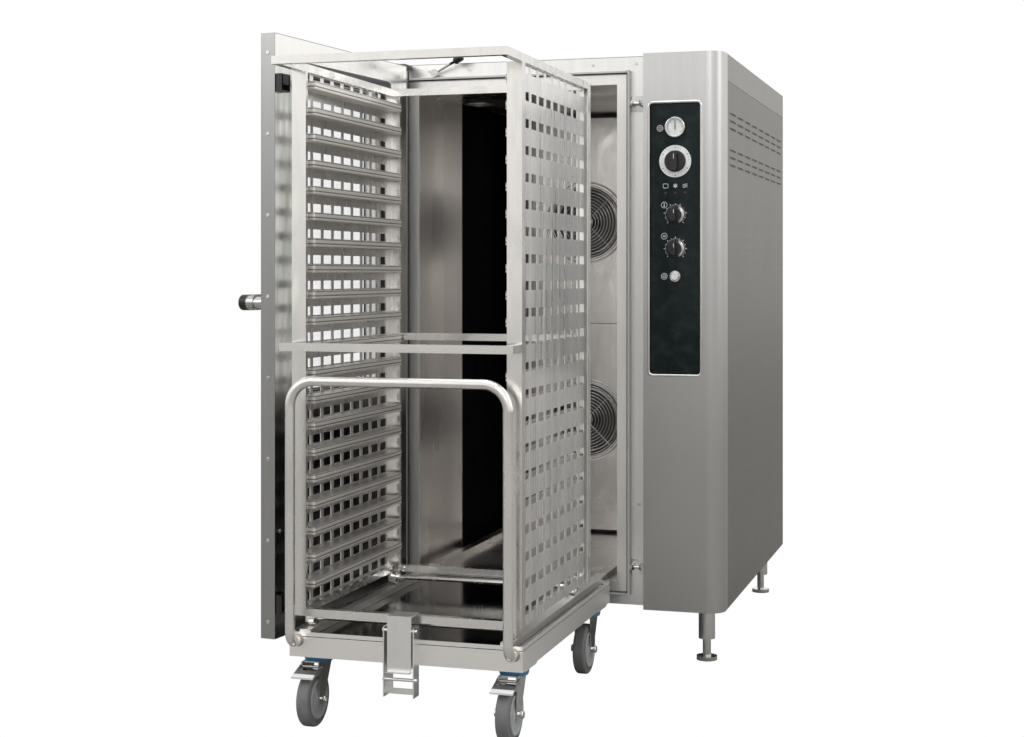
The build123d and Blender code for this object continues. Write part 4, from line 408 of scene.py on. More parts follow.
# Dark steel; on the fan wheels its darkness is painted shade.
dark_steel_and_shade = brushed("dark_steel_and_shade", (0.13, 0.125, 0.12), 0.40, grain=(300, 300, 300))
black = moulded("black_plastic", (0.012, 0.012, 0.013), 0.30)
ring_black = moulded("ring_black", (0.020, 0.020, 0.022), 0.22)
seal = seal_ring("door_seal")
rubber = moulded("seal_rubber", (0.030, 0.030, 0.030), 0.6, grain=500.0)
blue = moulded("blue_plastic", (0.04, 0.20, 0.40), 0.35)
white = moulded("white_print", (0.78, 0.80, 0.80), 0.45)
tyre_rubber = moulded("tyre_rubber", (0.15, 0.155, 0.155), 0.55, grain=420.0)
rim_grey = moulded("wheel_rim", (0.30, 0.32, 0.32), 0.5, grain=300.0)
motor_paint = moulded("motor_paint", (0.10, 0.11, 0.12), 0.45, grain=300.0)
heater = brushed("heater_sheath", (0.16, 0.15, 0.15), 0.5, grain=(300, 300, 300))
pane = glass("door_pane", (0.55, 0.60, 0.57), 0.03)
lamp_glass = glass("lamp_glass", (0.85, 0.87, 0.85), 0.75, rough=0.15)
clear_cap = glass("gauge_cap_glass", (0.9, 0.92, 0.92), 0.10, rough=0.02)
panel_glass = moulded("panel_glass", (0.0040, 0.0098, 0.0112), 0.12, grain=40.0, IOR=1.30)
lens = moulded("lamp_lens", (0.045, 0.018, 0.012), 0.22, grain=300.0)
mineral_wool = wool("mineral_wool", (0.62, 0.56, 0.42))

# Finishes that change along a piece; on the knob skirts the change is a painted highlight
satin_metal = ((0.62, 0.62, 0.61), 1.0, 0.25)
black_skin = ((0.010, 0.010, 0.011), 0.0, 0.35)
handle_finish = two_tone_and_highlight("door_handle_finish", satin_metal, black_skin,
                         opened(HANDLE_X, DOOR_FRONT, HANDLE_Z), door_outward, 0.0732, 0.0736)
VENT_LEVER_FOOT, VENT_LEVER_RUN = (-0.257, -0.0113, 1.744), np.array((0.083, -0.025, 0.037))
vent_finish = two_tone_and_highlight("vent_lever_finish", satin_metal, black_skin, VENT_LEVER_FOOT,
                       VENT_LEVER_RUN / np.linalg.norm(VENT_LEVER_RUN), 0.0610, 0.0614)
# Painted highlight: the skirts of the temperature and steam knobs turn chrome on their right side.
knob_skirt_and_highlight = two_tone_and_highlight("knob_skirt_and_highlight", ((0.012, 0.012, 0.013), 0.3, 0.22), ((0.80, 0.80, 0.81), 1.0, 0.10),
                      (CONTROL_X, 0, 0), (1, 0, 0), 0.008, 0.017)
latch_finish = two_tone_and_highlight("latch_finish", black_skin, satin_metal, opened(DOOR_EDGE, DOOR_BACK, 0),
                        -door_across, 0.046, 0.047)
PEDAL_SLOPE = math.radians(18)
pedal_root = (0, CASTERS["front_left"][Y] - CASTER_TRAIL - 0.0085, CROWN_Z - 0.013)
pedal_finish = two_tone_and_highlight("pedal_finish", ((0.50, 0.51, 0.51), 1.0, 0.3), ((0.80, 0.81, 0.81), 0.0, 0.45),
                        pedal_root, (0, -math.cos(PEDAL_SLOPE), -math.sin(PEDAL_SLOPE)), 0.046, 0.0465)

finishes = (
    (sheet, "base_frame front_frame vent_duct dock_bracket dock_lever"),
    (door_sheet, "door_shell"),
    (column_steel, "control_column"),
    (casing, "side_panel_left side_panel_right rear_panel"),
    (roof, "top_cover"),
    (liner, "cavity_liner"),
    (baffle_steel, "baffle_panels"),
    (door_liner, "door_inner_panel"),
    (rim_steel, "cavity_flange"),
    (bright, "latch_keepers casing_screws door_screws legs service_inlets"),
    (chrome, "fan_guards start_button"),
    (seal, "door_gasket"),
    # The fan wheels' dark tone is painted shade.
    (dark_steel_and_shade, "hinge_brackets fan_wheel_upper fan_wheel_lower"),
    (mineral_wool, "insulation door_core"),
    (heater, "heater_rings"),
    (motor_paint, "fan_motors control_gear"),
    (ledge_steel, "tray_ledges"),
    (rack_sheet, "rack_side_panels"),
    (tube, "rack_frame push_handle rack_wheels_front rack_wheels_rear"),
    (base_steel, "trolley_base"),
    (panel_glass, "control_glass"),
    (white, "dial_plates"),
    (lens, "indicator_lamps"),
    (lamp_glass, "cavity_lamps"),
    (pane, "door_glazing"),
    (black, "gauge_needle timer_knob temperature_knob steam_knob"),
    (handle_finish, "door_handle"),
    (vent_finish, "vent_lever"),
    (latch_finish, "latch_rod"),
    (pedal_finish, "brake_pedal_front_left brake_pedal_front_right"),
    (bright, " ".join(f"caster_fork_{corner}" for corner in CASTERS)),
    (tyre_rubber, " ".join(f"caster_wheel_{corner}" for corner in CASTERS)),
)
for finish, names in finishes:
    for name in names.split():
        for place in nodes[name].material_slots:
            place.material = finish


# Added pieces: surfaces computed point by point
SAME_POINT = 1e-6


def piece(name, grids, material, body):
    """One object of several point grids, each (rows, columns, 3) from the middle of the doorway. A
    face joins each point to the next ones of its row and column; points that meet become one."""
    points, faces, first = [], [], 0
    for grid in grids:
        rows, columns = grid.shape[:2]
        index = first + np.arange(rows * columns).reshape(rows, columns)
        corners = [index[:-1, :-1], index[:-1, 1:], index[1:, 1:], index[1:, :-1]]
        faces.append(np.stack(corners, axis=-1).reshape(-1, 4))
        points.append(grid.reshape(-1, 3))
        first += rows * columns
    mesh = bpy.data.meshes.new(name)
    moved = np.concatenate(points) + here(0, 0, 0)
    mesh.from_pydata(moved.tolist(), [], np.concatenate(faces).tolist())
    shell = bmesh.new()
    shell.from_mesh(mesh)
    bmesh.ops.remove_doubles(shell, verts=shell.verts, dist=SAME_POINT)
    shell.to_mesh(mesh)
    shell.free()
    mesh.materials.append(material)
    mesh.polygons.foreach_set("use_smooth", [True] * len(mesh.polygons))
    shape = bpy.data.objects.new(name, mesh)
    bpy.context.collection.objects.link(shape)
    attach(shape, body)


def frame_of(axis):
    """Two directions at right angles to axis and to each other."""
    axis = np.array(axis, float) / np.linalg.norm(axis)
    first = np.cross(axis, (0, 0, 1.0))
    if np.linalg.norm(first) < 0.1:
        first = np.cross(axis, (1.0, 0, 0))
    first /= np.linalg.norm(first)
    return axis, first, np.cross(axis, first)


def lathe(center, axis, profile, turns=48, ripple=0.0, lobes=0):
    """Profile of (height, radius), from its foot over the outside to the top, turned about axis: each
    point goes to its height along the axis plus its radius times the circle; with lobes, the radius
    also grows and shrinks as a cosine."""
    axis, first, second = frame_of(axis)
    angle = np.linspace(2 * np.pi, 0, turns + 1)
    height, radius = np.array(profile, float).T
    swell = 1 + ripple * np.cos(lobes * angle)
    ray = np.cos(angle)[:, None] * first + np.sin(angle)[:, None] * second
    return (np.array(center, float) + height[None, :, None] * axis
            + (radius[None, :] * swell[:, None])[:, :, None] * ray[:, None, :])


def hexagon(center, axis, profile, turns=48):
    """A nut or bolt head: a turned profile whose radius swells six times on its way round."""
    return lathe(center, axis, profile, turns, ripple=0.06, lobes=6)


def dome(center, axis, radius, height, steps=7, turns=20):
    """Shallow cap: radius times the sine and height times the cosine of an angle."""
    profile = [(height * math.cos(a), radius * math.sin(a)) for a in np.linspace(np.pi / 2, 0, steps)]
    return lathe(center, axis, profile, turns)


def arc(center, radius, start, end, steps=8):
    """Points (height, radius) on an arc, for a lathe profile; angles in degrees."""
    angle = np.radians(np.linspace(start, end, steps))
    return [(center[0] + radius * math.sin(a), center[1] + radius * math.cos(a)) for a in angle]


def round_path(corners, radius, steps=8):
    """Points along straight runs between corners; each corner in between becomes a quarter-like
    curve, a quadratic blend of the points one radius before and after it."""
    corners = [np.array(c, float) for c in corners]
    points = [corners[0]]
    for before, corner, after in zip(corners, corners[1:], corners[2:]):
        a = corner + (before - corner) * min(1, radius / np.linalg.norm(before - corner))
        b = corner + (after - corner) * min(1, radius / np.linalg.norm(after - corner))
        for t in np.linspace(0, 1, steps):
            points.append((1 - t) ** 2 * a + 2 * t * (1 - t) * corner + t * t * b)
    points.append(corners[-1])
    return np.array(points)


def rounded_loop(left, right, low, high, radius, steps=6):
    """Points (x, z) around a rectangle with round corners, from the middle of its left side down."""
    half_way = (low + high) / 2
    corners = [(left, half_way), (left, low), (right, low), (right, high), (left, high), (left, half_way)]
    return round_path(corners, radius, steps)


def at_depth(loop, y):
    """Points (x, z) as places at one depth."""
    return np.insert(loop, 1, y, axis=1)


def on_door(loop, y):
    """Points (x, z) at one depth of the closed door, on the open one."""
    return np.stack(opened(loop[:, 0], y, loop[:, 1]), axis=-1)


def bead(path, out, half_width, height, steps=9):
    """Half-round strip along a path that lies in a plane: across the path it runs as the cosine, away
    from the plane, along out, as the sine of an angle from 180 to 0 degrees. Where the path's ends
    meet, they share one direction."""
    path = np.array(path, float)
    along = np.gradient(path, axis=0)
    if np.allclose(path[0], path[-1]):
        along[0] = along[-1] = path[1] - path[-2]
    along /= np.linalg.norm(along, axis=1)[:, None]
    side = np.cross(along, out)
    angle = np.linspace(np.pi, 0, steps)
    return (path[:, None, :] + half_width * np.cos(angle)[None, :, None] * side[:, None, :]
            + height * np.sin(angle)[None, :, None] * np.array(out, float))


def pad(center, along, across, out, height, power=4.0, rings=5, steps=24):
    """Flat rounded bar: rings of a superellipse whose half axes are along and across; the height
    falls to nothing at the rim as the square root of one minus the ring's share to the fourth. Its
    faces look along out, whichever way round the half axes are."""
    along, across, out = (np.array(run, float) for run in (along, across, out))
    if np.dot(np.cross(along, across), out) > 0:
        across = -across
    angle = np.linspace(0, 2 * np.pi, steps + 1)
    c, s = np.cos(angle).round(9), np.sin(angle).round(9)
    x = np.sign(c) * np.abs(c) ** (2 / power)
    y = np.sign(s) * np.abs(s) ** (2 / power)
    share = np.sin(np.linspace(0, np.pi / 2, rings))
    lift = height * np.sqrt(np.maximum(0.0, 1 - share ** 4))
    flat = x[None, :, None] * along + y[None, :, None] * across
    return np.array(center, float) + share[:, None, None] * flat + lift[:, None, None] * out


def hood(corner, along, down, out, bulge):
    """Pressed hood over a slot: from a corner it spans along and down, and bulges as the product of
    two sines; the second one is over before the lower edge, so that the hood is fullest high up."""
    u, v = np.meshgrid(np.linspace(0, 1, 17), np.linspace(0, 1, 7), indexing="ij")
    swell = bulge * np.sin(np.pi * u) ** 0.5 * np.sin(np.pi * np.minimum(v * 1.15, 1.0)) ** 0.8
    return (np.array(corner, float) + u[..., None] * np.array(along, float)
            + v[..., None] * np.array(down, float) + swell[..., None] * np.array(out, float))


# Prints: half-round lines and flat bars on the glass
PRINT_GAP = 0.0001
PRINT_LINE, PRINT_LIFT = 0.0006, 0.0003
THIN_LINE, THIN_LIFT = 0.0003, 0.0002


def print_arc(x, z, radius, start, end, y, half_width=PRINT_LINE, height=PRINT_LIFT, steps=40):
    """Half-round line on an arc of a dial; degrees run clockwise from the top."""
    angle = np.radians(np.linspace(start, end, steps))
    path = np.stack([x + radius * np.sin(angle), np.full(steps, y), z + radius * np.cos(angle)], axis=1)
    return bead(path, FORWARD, half_width, height)


def ticks(x, z, inner, outer, angles, y, half_width):
    """Short radial bars of a scale; degrees run clockwise from the top."""
    bars = []
    for angle in np.radians(angles):
        ray = np.array((math.sin(angle), 0, math.cos(angle)))
        side = np.array((ray[Z], 0, -ray[X]))
        center = np.array((x, y, z)) + ray * (inner + outer) / 2
        bars.append(pad(center, ray * (outer - inner) / 2, side * half_width, FORWARD, 0.0004, steps=16))
    return bars


def print_bar(x, y, z, half_length, half_width, lean=0.0, power=4.0):
    """Upright bar of a symbol, rounder with a lower power."""
    return pad((x, y, z), (lean, 0, half_length), (half_width, 0, 0), FORWARD, PRINT_LIFT, power)


def thermometer(x, y, z):
    """A stem on a round bulb."""
    return [print_bar(x, y, z + 0.001, 0.005, 0.0009), print_bar(x, y, z - 0.004, 0.002, 0.002, power=2)]


def steam_drops(x, y, z):
    """Three slim drops that spread downwards."""
    return [print_bar(x + dx, y, z, 0.003, 0.0008, lean=dx * 0.2, power=2) for dx in (-0.0025, 0, 0.0025)]


def power_mark(x, y, z):
    """A ring open at the top, with a bar in its gap."""
    return [print_arc(x, z, 0.0042, 35, 325, y, steps=24), print_bar(x, y, z + 0.003, 0.003, PRINT_LINE)]


def lamp_symbols(y):
    """Over the three lamps: a rounded frame, a star of six arms and three waves."""
    left, center, right = CONTROL_X - LAMP_PITCH, CONTROL_X, CONTROL_X + LAMP_PITCH
    z = LAMP_Z + 0.021
    a, b = 0.007, 0.006
    outline = round_path([(left, y, z + b), (left + a, y, z + b), (left + a, y, z - b), (left - a, y, z - b),
                          (left - a, y, z + b), (left, y, z + b)], 0.002)
    prints = [bead(outline, FORWARD, PRINT_LINE, PRINT_LIFT)]
    prints += ticks(center, z, 0.001, 0.0068, range(0, 360, 60), y, 0.0011)
    wave = np.linspace(-0.007, 0.007, 30)
    for dz in (-0.004, 0, 0.004):
        path = np.stack([right + wave, np.full(30, y), z + dz + 0.0013 * np.sin(wave / 0.0022)], axis=1)
        prints.append(bead(path, FORWARD, PRINT_LINE, PRINT_LIFT))
    return prints


def panel_prints():
    """Scales of two knobs, ringed symbols beside the controls and the symbols over the lamps."""
    y = GLASS_FACE - PRINT_GAP
    prints = []
    for z, count in ((TEMPERATURE_Z, 11), (STEAM_Z, 13)):
        angles = np.linspace(-135, 135, count)
        prints += ticks(CONTROL_X, z, 0.0295, 0.0345, angles[::2], y, PRINT_LINE * 1.2)
        prints += ticks(CONTROL_X, z, 0.0295, 0.0325, angles[1::2], y, PRINT_LINE)
        prints.append(print_arc(CONTROL_X, z, 0.0285, -135, 135, y, THIN_LINE, THIN_LIFT))
    beside = CONTROL_X - 0.0325
    for symbol, x, z in ((thermometer, beside, TEMPERATURE_Z + 0.028), (steam_drops, beside, STEAM_Z + 0.036),
                         (power_mark, beside, BUTTON_Z), (power_mark, CONTROL_X - 0.045, GAUGE_Z - 0.002)):
        prints += [print_arc(x, z, 0.0085, 0, 360, y), *symbol(x, y, z)]
    piece("panel_prints", prints + lamp_symbols(y), white, "oven")


def timer_scale():
    """Black bars of the timer's minutes on its white ring, every fifth one longer."""
    y = GLASS_FACE - 0.003 - PRINT_GAP
    angles = np.arange(0, 360, 12)
    bars = ticks(CONTROL_X, TIMER_Z, 0.0385, 0.0435, angles[::5], y, 0.0011)
    bars += ticks(CONTROL_X, TIMER_Z, 0.0395, 0.0425, np.delete(angles, np.s_[::5]), y, 0.0004)
    piece("timer_scale", bars, black, "oven")


def gauge_parts():
    """Printed scale of the gauge, its polished rim and the clear cap over it."""
    dial = GAUGE_FACE + 0.005 - PRINT_GAP
    first, last = -130, 130
    bars = ticks(CONTROL_X, GAUGE_Z, 0.0185, 0.0225, np.linspace(first, last, 7), dial, 0.0007)
    bars += ticks(CONTROL_X, GAUGE_Z, 0.0200, 0.0225, np.linspace(first, last, 31), dial, THIN_LINE)
    bars.append(print_arc(CONTROL_X, GAUGE_Z, 0.0232, first, last, dial, THIN_LINE, THIN_LIFT))
    piece("gauge_scale", bars, black, "oven")
    rim = [(-0.0078, 0.0298), (-0.0015, 0.0298)] + arc((0.0, 0.0275), 0.0022, 0, 90, 6)
    piece("gauge_rim", [lathe((CONTROL_X, GAUGE_FACE, GAUGE_Z), FORWARD, rim)], chrome, "oven")
    cap = dome((CONTROL_X, GAUGE_FACE + 0.0008, GAUGE_Z), FORWARD, 0.0258, 0.0012, steps=10, turns=48)
    piece("gauge_cap", [cap], clear_cap, "oven")


def knob_trims():
    """Skirts, grip rings and white pointer lines of the knobs."""
    for name, z, seat, skirt, inset, top, pointer, finish in (
            ("temperature_knob", TEMPERATURE_Z, 0.0003, 0.0262, 0.0072, 0.0270, 0.016, knob_skirt_and_highlight),
            ("steam_knob", STEAM_Z, 0.0003, 0.0262, 0.0072, 0.0270, 0.016, knob_skirt_and_highlight),
            ("timer_knob", TIMER_Z, 0.0033, 0.0312, 0.0033, 0.0250, 0.024, ring_black)):
        face = GLASS_FACE - seat
        ring = [(0.0004, skirt)] + arc((0.0022, skirt - 0.0012), 0.0012, -20, 90, 6)
        ring += [(0.0036, skirt - 0.004), (0.0044, skirt - 0.0075)]
        piece(f"{name}_skirt", [lathe((CONTROL_X, face, z), FORWARD, ring)], finish, name)
        groove = arc((0, skirt - inset), 0.0005, -90, 90, 5)
        grooves = [lathe((CONTROL_X, face - 0.0045 - i * 0.0022, z), FORWARD, groove, turns=96, ripple=0.012,
                         lobes=24) for i in range(3)]
        piece(f"{name}_grip_rings", grooves, black, name)
        line = pad((CONTROL_X, face - top - PRINT_GAP, z + pointer * 0.55), (0, 0, pointer * 0.35),
                   (0.0009, 0, 0), FORWARD, PRINT_LIFT)
        piece(f"{name}_pointer", [line], white, name)


def button_trims():
    """Polished collar around the push button and its dished cap, which rises as the square of the
    distance from its middle."""
    center = (CONTROL_X, GLASS_FACE, BUTTON_Z)
    ring = [(0.0002, 0.0170), (0.0040, 0.0164)] + arc((0.0058, 0.0143), 0.0016, 0, 180, 10)[1:]
    piece("button_collar", [lathe(center, FORWARD, ring + [(0.0046, 0.0125)])], chrome, "oven")
    rim = 0.0095
    dish = [(0.0101 + 0.0009 * (r / rim) ** 2, r) for r in np.linspace(rim, 0, 8)]
    piece("button_dish", [lathe(center, FORWARD, dish)], white, "start_button")


def glass_lip():
    """Rolled lip around the recess of the control glass."""
    over = 0.0005
    loop = rounded_loop(GLASS_LEFT - over, GLASS_RIGHT + over, GLASS_LOW - over, GLASS_HIGH + over, 0.015, 10)
    piece("glass_lip", [bead(at_depth(loop, COLUMN_FACE), FORWARD, 0.0035, 0.0018, steps=11)], bright, "oven")


def louvre_hoods():
    """Hoods over the two groups of slots in the right panel."""
    margin, bridge, count = 0.062, 0.042, 8
    pitch = (BODY_DEPTH - 2 * margin + bridge) / count
    length, rise, lap = pitch - bridge, 0.0094, 0.004
    hoods = []
    for drop in LOUVRE_DROPS:
        for row in range(3):
            z = BODY_TOP - drop - row * LOUVRE_PITCH + 0.0052
            for i in range(count):
                corner = (SIDE_X + 0.0002, margin + i * pitch - lap, z)
                hoods.append(hood(corner, (0, length + 2 * lap, 0), (0, 0, -rise), (1, 0, 0), 0.0045))
    piece("louvre_hoods", hoods, casing, "oven")


def window_trims():
    """Black border and bright spacer of the panes, a dark strip along the hinges that is a painted shadow of
    the gap there, and the beads around the window on both faces of the door."""
    x0, x1, z0, z1 = WINDOW
    border = []
    for share, y in ((0.0, 0.0002), (0.2, 0.0004), (0.9, 0.0012), (1.0, 0.0010), (1.0, 0.0)):
        loop = rounded_loop(x0 - 0.087 * share, x1 + 0.050 * share, z0 - 0.030 * share, z1 + 0.038 * share,
                            0.012 + 0.010 * share)
        border.append(on_door(loop, DOOR_BACK + y))
    piece("pane_border", [np.array(border)], ring_black, "door")
    inset, radius = 0.0006, 0.012
    loop = rounded_loop(x0 + inset, x1 - inset, z0 + inset, z1 - inset, radius)
    rows = [on_door(loop, y) for y in (DOOR_FRONT + 0.006, -0.050, -0.034, DOOR_BACK - 0.006)]
    piece("pane_spacer", [np.array(rows)], spacer, "door")
    # Painted shadow: a dark rubber strip along the gap by the hinges.
    edge = [opened(HINGE_SHADOW_STRIP_X, DOOR_BACK, z) for z in np.linspace(*HINGE_SHADOW_STRIP_ENDS, 12)]
    piece("hinge_gap_shadow_strip", [bead(edge, -door_outward, 0.0045, 0.0030)], rubber, "door")
    loop = rounded_loop(x0, x1, z0, z1, radius)
    seals = [bead(on_door(loop, y), out, 0.005, 0.0022)
             for y, out in ((DOOR_FRONT, door_outward), (DOOR_BACK, -door_outward))]
    piece("window_seals", seals, rubber, "door")


def handle_trims():
    """Rosette where the handle meets the door and three rings on the handle's neck."""
    foot = np.array(opened(HANDLE_X, DOOR_FRONT, HANDLE_Z))
    rosette = [(0.0050, 0.030), (0.0075, 0.0285), (0.0110, 0.022), (0.0140, 0.0172), (0.0160, 0.0162)]
    piece("handle_rosette", [lathe(foot, door_outward, rosette)], bright, "door")
    groove = arc((0, 0.0192), 0.0007, -90, 90, 6)
    grooves = [lathe(foot + door_outward * (0.0565 + i * 0.005), door_outward, groove) for i in range(3)]
    piece("handle_grooves", grooves, bright, "door_handle")


def baffle_screws():
    """Domed screws that hold the two baffles on their posts."""
    inset = 0.028
    low, high = reach("baffle_panels", Z)
    heads = []
    for bottom, top in ((low, BAFFLE_SPLIT - BAFFLE_GAP / 2), (BAFFLE_SPLIT + BAFFLE_GAP / 2, high)):
        for x in (inset - BAFFLE_X, BAFFLE_X - inset):
            for z in (bottom + inset, top - inset):
                heads.append(dome((x, BAFFLE_Y, z), FORWARD, 0.0065, 0.0028))
    piece("baffle_screws", heads, bright, "oven")


def ledge_caps():
    """Folded ends that close each ledge of the rack at the front and the rear."""
    half_width, half_height, sunk = LEDGE_WIDTH / 2 - 0.001, LEDGE_HEIGHT / 2 - 0.0008, 0.0012
    front, rear = reach("tray_ledges", Y)
    caps = []
    for level in range(LEVELS):
        z = LEDGE_LOW + LEDGE_HEIGHT / 2 + level * LEDGE_PITCH
        for x in (-LEDGE_X, LEDGE_X):
            for y, out in ((front + sunk, FORWARD), (rear - sunk, (0, 1, 0))):
                caps.append(pad((x, y, z), (half_width, 0, 0), (0, 0, half_height), out, 0.0008, power=10))
    piece("ledge_caps", caps, ledge_steel, "rack")


def cover_screws():
    """Screws along the edges of the rear and left covers."""
    rear, left = reach("rear_panel", Y)[1], reach("side_panel_left", X)[0]
    low, high = (z + inset for z, inset in zip(reach("rear_panel", Z), (0.03, -0.03)))
    ends = (-0.34, 0.58)
    on_rear = [(x, z) for z in (low, high) for x in np.linspace(*ends, 6)]
    on_rear += [(x, z) for x in ends for z in np.linspace(low, high, 7)[1:-1]]
    heads = [dome((x, rear, z), (0, 1, 0), 0.006, 0.0025) for x, z in on_rear]
    on_left = [(y, z) for z in (low, high) for y in np.linspace(0.05, 1.15, 6)]
    heads += [dome((left, y, z), (-1, 0, 0), 0.006, 0.0025) for y, z in on_left]
    piece("cover_screws", heads, bright, "oven")


def motor_cover():
    """Frame and hoods of the cover over the motors, on the rear."""
    rear = reach("rear_panel", Y)[1]
    loop = rounded_loop(*MOTOR_COVER, 0.03, 8)
    piece("motor_cover_bead", [bead(at_depth(loop, rear), (0, 1, 0), 0.006, 0.0035)], casing, "oven")
    hoods = []
    rows, pitch, width, rise = 6, 0.030, 0.22, 0.012
    for fan_z in FAN_Z.values():
        for row in range(rows):
            z = fan_z + (row - (rows - 1) / 2) * pitch + rise / 2
            corner = (width / 2, rear + 0.0002, z)
            hoods.append(hood(corner, (-width, 0, 0), (0, 0, -rise), (0, 1, 0), 0.007))
    piece("motor_cover_hoods", hoods, casing, "oven")


def fan_lips():
    """Rolled lips of the fan wheels' inlets and their hub caps."""
    lip = [(-0.004, 0.1160)] + arc((0.0, 0.1085), 0.0052, 0, 180, 10) + [(-0.006, 0.1020)]
    for level, z in FAN_Z.items():
        rolled = lathe((0, BAFFLE_Y + 0.018, z), FORWARD, lip, turns=72)
        piece(f"fan_lip_{level}", [rolled], bright, f"fan_{level}")
        cap = dome((0, BAFFLE_Y + 0.028, z), FORWARD, 0.022, 0.010, steps=8, turns=48)
        piece(f"fan_hub_{level}", [cap], bright, f"fan_{level}")


def keeper_nuts():
    """Hexagon nuts and washers on the pins of the two latch keepers."""
    nut = [(0.0, 0.0040), (0.0001, 0.0105), (0.0012, 0.0105), (0.0013, 0.0088), (0.0062, 0.0088),
           (0.0072, 0.0074), (0.0072, 0.0040)]
    for place, z in KEEPER_Z.items():
        nuts = [hexagon((x, KEEPER_PIN_Y, z), (out, 0, 0), nut) for x, out in KEEPER_PIN_ENDS]
        piece(f"keeper_nuts_{place}", nuts, chrome, "oven")


def swivel_trims(name, x, y):
    """Blue seal around a caster's crown and the bright race under it."""
    ring = [(-0.0050, 0.0330), (-0.0048, 0.0350), (0.0, 0.0368), (0.0060, 0.0372), (0.0115, 0.0372),
            (0.0140, 0.0360), (0.0145, 0.0322)]
    race = [(-0.0002, 0.0325), (0.0012, 0.0338), (0.0026, 0.0325)]
    piece(f"swivel_seal_{name}", [lathe((x, y, CROWN_Z), (0, 0, 1), ring)], blue, f"caster_{name}")
    piece(f"swivel_race_{name}", [lathe((x, y, CROWN_Z), (0, 0, 1), race)], bright, f"caster_{name}")


def wheel_trims(name, x, y):
    """Axle nuts, dished rims and beads on the tyre of a caster's wheel, on both sides."""
    nut = [(0.0001, 0.0062), (0.0002, 0.0098), (0.0052, 0.0098), (0.0066, 0.0086), (0.0066, 0.0062)]
    rim = [(0.0004, 0.0515), (0.0030, 0.0500), (0.0030, 0.0475), (0.0012, 0.0440), (0.0004, 0.0380),
           (0.0004, 0.0250), (0.0010, 0.0180), (0.0032, 0.0134)]
    nuts, rims, beads = [], [], []
    for out in (-1, 1):
        axis, side = (out, 0, 0), (x + out * 0.017, y, AXLE_Z)
        nuts.append(hexagon((x + out * 0.030, y, AXLE_Z), axis, nut))
        rims.append(lathe(side, axis, rim, turns=60))
        beads += [lathe(side, axis, arc((0.0, r), 0.0009, -90, 90, 5), turns=60) for r in (0.0535, 0.0570)]
    piece(f"axle_nuts_{name}", nuts, bright, f"caster_{name}")
    piece(f"wheel_rims_{name}", rims, rim_grey, f"wheel_{name}")
    piece(f"tyre_beads_{name}", beads, tyre_rubber, f"wheel_{name}")


def plate_bolts(name, x, y):
    """Four bolts of a caster's mounting plate."""
    spread = 0.036
    head = [(0.0001, 0.0062), (0.0032, 0.0062), (0.0042, 0.0052), (0.0042, 0.0)]
    bolts = [hexagon((x + dx, y + dy, MOUNT_BOTTOM), (0, 0, -1), head, turns=36)
             for dx in (-spread, spread) for dy in (-spread, spread)]
    piece(f"plate_bolts_{name}", bolts, bright, "trolley")


def handle_welds():
    """Weld beads where the push handle meets the trolley's base, rippled as they go round."""
    weld = [(0.0, 0.0160), (0.0012, 0.0158), (0.0030, 0.0140), (0.0038, 0.0126)]
    front = reach("trolley_base", Y)[0]
    beads = [lathe((x, front, HANDLE_TUBE_Z), FORWARD, weld, turns=72, ripple=0.02, lobes=30)
             for x in (-HANDLE_TUBE_X, HANDLE_TUBE_X)]
    piece("handle_welds", beads, weld_steel, "trolley")


def added_pieces():
    """Everything that the CAD model leaves to the looks."""
    panel_prints()
    timer_scale()
    gauge_parts()
    knob_trims()
    button_trims()
    glass_lip()
    louvre_hoods()
    window_trims()
    handle_trims()
    baffle_screws()
    ledge_caps()
    cover_screws()
    motor_cover()
    fan_lips()
    keeper_nuts()
    for name, (x, y) in CASTERS.items():
        swivel_trims(name, x, y)
        wheel_trims(name, x, y - CASTER_TRAIL)
        plate_bolts(name, x, y)
    handle_welds()


# Floor, light and camera
def make_floor():
    """Pale floor that the camera sees as white and that lights the object from below."""
    size = 30.0
    mesh = bpy.data.meshes.new("floor")
    corners = [(-size, -size, 0), (size, -size, 0), (size, size, 0), (-size, size, 0)]
    mesh.from_pydata(corners, [], [(0, 1, 2, 3)])
    floor = bpy.data.objects.new("floor", mesh)
    bpy.context.collection.objects.link(floor)
    shade = Shader("pale_floor", (0.30, 0.295, 0.285), Roughness=0.9)
    path = shade.tree.nodes.new("ShaderNodeLightPath")
    seen = Value(shade, path.outputs["Is Camera Ray"]) + Value(shade, path.outputs["Is Transmission Ray"])
    glow = shade.node("ShaderNodeEmission", {"Color": (1, 1, 1, 1), "Strength": 1.0})
    surface = Value(shade, shade.surface.outputs[0])
    mixed = shade.node("ShaderNodeMixShader", {0: seen, 1: surface, 2: glow})
    shade.tree.links.new(mixed.socket, shade.tree.nodes["Material Output"].inputs["Surface"])
    mesh.materials.append(shade.material)


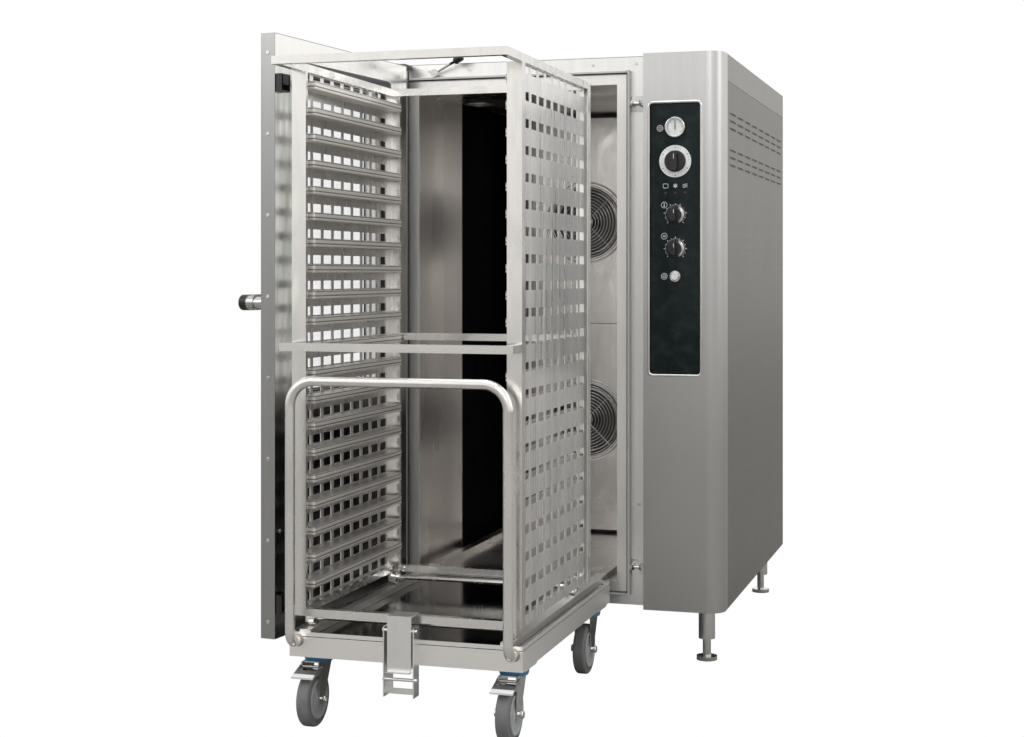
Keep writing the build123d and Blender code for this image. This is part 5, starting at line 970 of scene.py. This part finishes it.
def make_world():
    """White for the camera; in reflections bright behind and above the object, dim before it."""
    world = bpy.data.worlds.new("studio")
    world.use_nodes = True
    bpy.context.scene.world = world
    tree = world.node_tree
    back = tree.nodes["Background"]
    spot = tree.nodes.new("ShaderNodeTexCoord")
    split = tree.nodes.new("ShaderNodeSeparateXYZ")
    tree.links.new(spot.outputs["Generated"], split.inputs[0])

    def band(axis, *stops):
        """Brightness along one axis of the direction, from (place, brightness) pairs."""
        moved = tree.nodes.new("ShaderNodeMath")
        moved.operation = "MULTIPLY_ADD"
        moved.inputs[1].default_value = moved.inputs[2].default_value = 0.5
        tree.links.new(split.outputs[axis], moved.inputs[0])
        ramp = tree.nodes.new("ShaderNodeValToRGB")
        tree.links.new(moved.outputs[0], ramp.inputs[0])
        marks = ramp.color_ramp.elements
        while len(marks) < len(stops):
            marks.new(0.5)
        for mark, (place, tone) in zip(marks, stops):
            mark.position, mark.color = place, (tone, tone * 0.99, tone * 0.97, 1)
        return ramp.outputs[0]

    along = band("Y", (0.0, 0.86), (0.35, 0.80), (0.52, 0.66), (0.72, 1.0))
    across = tree.nodes.new("ShaderNodeMix")
    across.data_type, across.blend_type = "RGBA", "MULTIPLY"
    across.inputs[0].default_value = 1.0
    tree.links.new(along, across.inputs[6])
    dip = band("X", (0.0, 1.0), (0.44, 1.0), (0.54, 0.55), (0.60, 0.60), (0.68, 1.0))
    tree.links.new(dip, across.inputs[7])
    upward = band("Z", (0.0, 0.0), (0.50, 0.0), (0.58, 0.45), (0.95, 0.65))
    joined = tree.nodes.new("ShaderNodeMix")
    joined.data_type, joined.blend_type = "RGBA", "SCREEN"
    joined.inputs[0].default_value = 1.0
    tree.links.new(across.outputs[2], joined.inputs[6])
    tree.links.new(upward, joined.inputs[7])
    path = tree.nodes.new("ShaderNodeLightPath")
    mix = tree.nodes.new("ShaderNodeMix")
    mix.data_type = "RGBA"
    tree.links.new(path.outputs["Is Camera Ray"], mix.inputs[0])
    tree.links.new(joined.outputs[2], mix.inputs[6])
    mix.inputs[7].default_value = (1, 1, 1, 1)
    tree.links.new(mix.outputs[2], back.inputs["Color"])


def softbox(name, place, target, size, power):
    """Rectangular lamp at a place, facing a target; both are from the middle of the doorway."""
    light = bpy.data.lights.new(name, "AREA")
    light.shape, light.size, light.size_y = "RECTANGLE", *size
    light.energy = power
    lamp = bpy.data.objects.new(name, light)
    lamp.location = here(*place)
    aim = np.array(target) - np.array(place)
    lamp.rotation_euler = (math.atan2(math.hypot(aim[0], aim[1]), -aim[2]), 0, math.atan2(-aim[0], aim[1]))
    bpy.context.collection.objects.link(lamp)


def make_camera():
    """The photograph's camera, level, with the frame shifted so that the horizon keeps its row."""
    data = bpy.data.cameras.new("camera")
    data.sensor_fit = "HORIZONTAL"
    data.sensor_width = SENSOR
    data.lens = FOCAL_LENGTH
    data.shift_y = (HORIZON_ROW - IMAGE_HEIGHT / 2) / IMAGE_WIDTH
    camera = bpy.data.objects.new("camera", data)
    camera.location = here(*CAMERA_PLACE)
    camera.rotation_euler = (math.pi / 2, 0, math.radians(CAMERA_YAW))
    bpy.context.collection.objects.link(camera)
    bpy.context.scene.camera = camera


make_floor()
make_world()
added_pieces()
softbox("key", (-3.4, -4.2, 3.6), (0, -0.3, 0.9), (2.2, 2.2), 45)
softbox("front_fill", (2.2, -6.0, 3.4), (0.2, -0.4, 0.9), (2.0, 1.2), 30)
softbox("top", (0.4, -1.0, 4.4), (0.2, -0.4, 0.8), (3.0, 3.0), 60)
softbox("side", (4.8, -0.2, 2.8), (0.3, 0.2, 0.9), (1.6, 2.5), 20)
make_camera()
bpy.context.scene.view_settings.view_transform = "Standard"
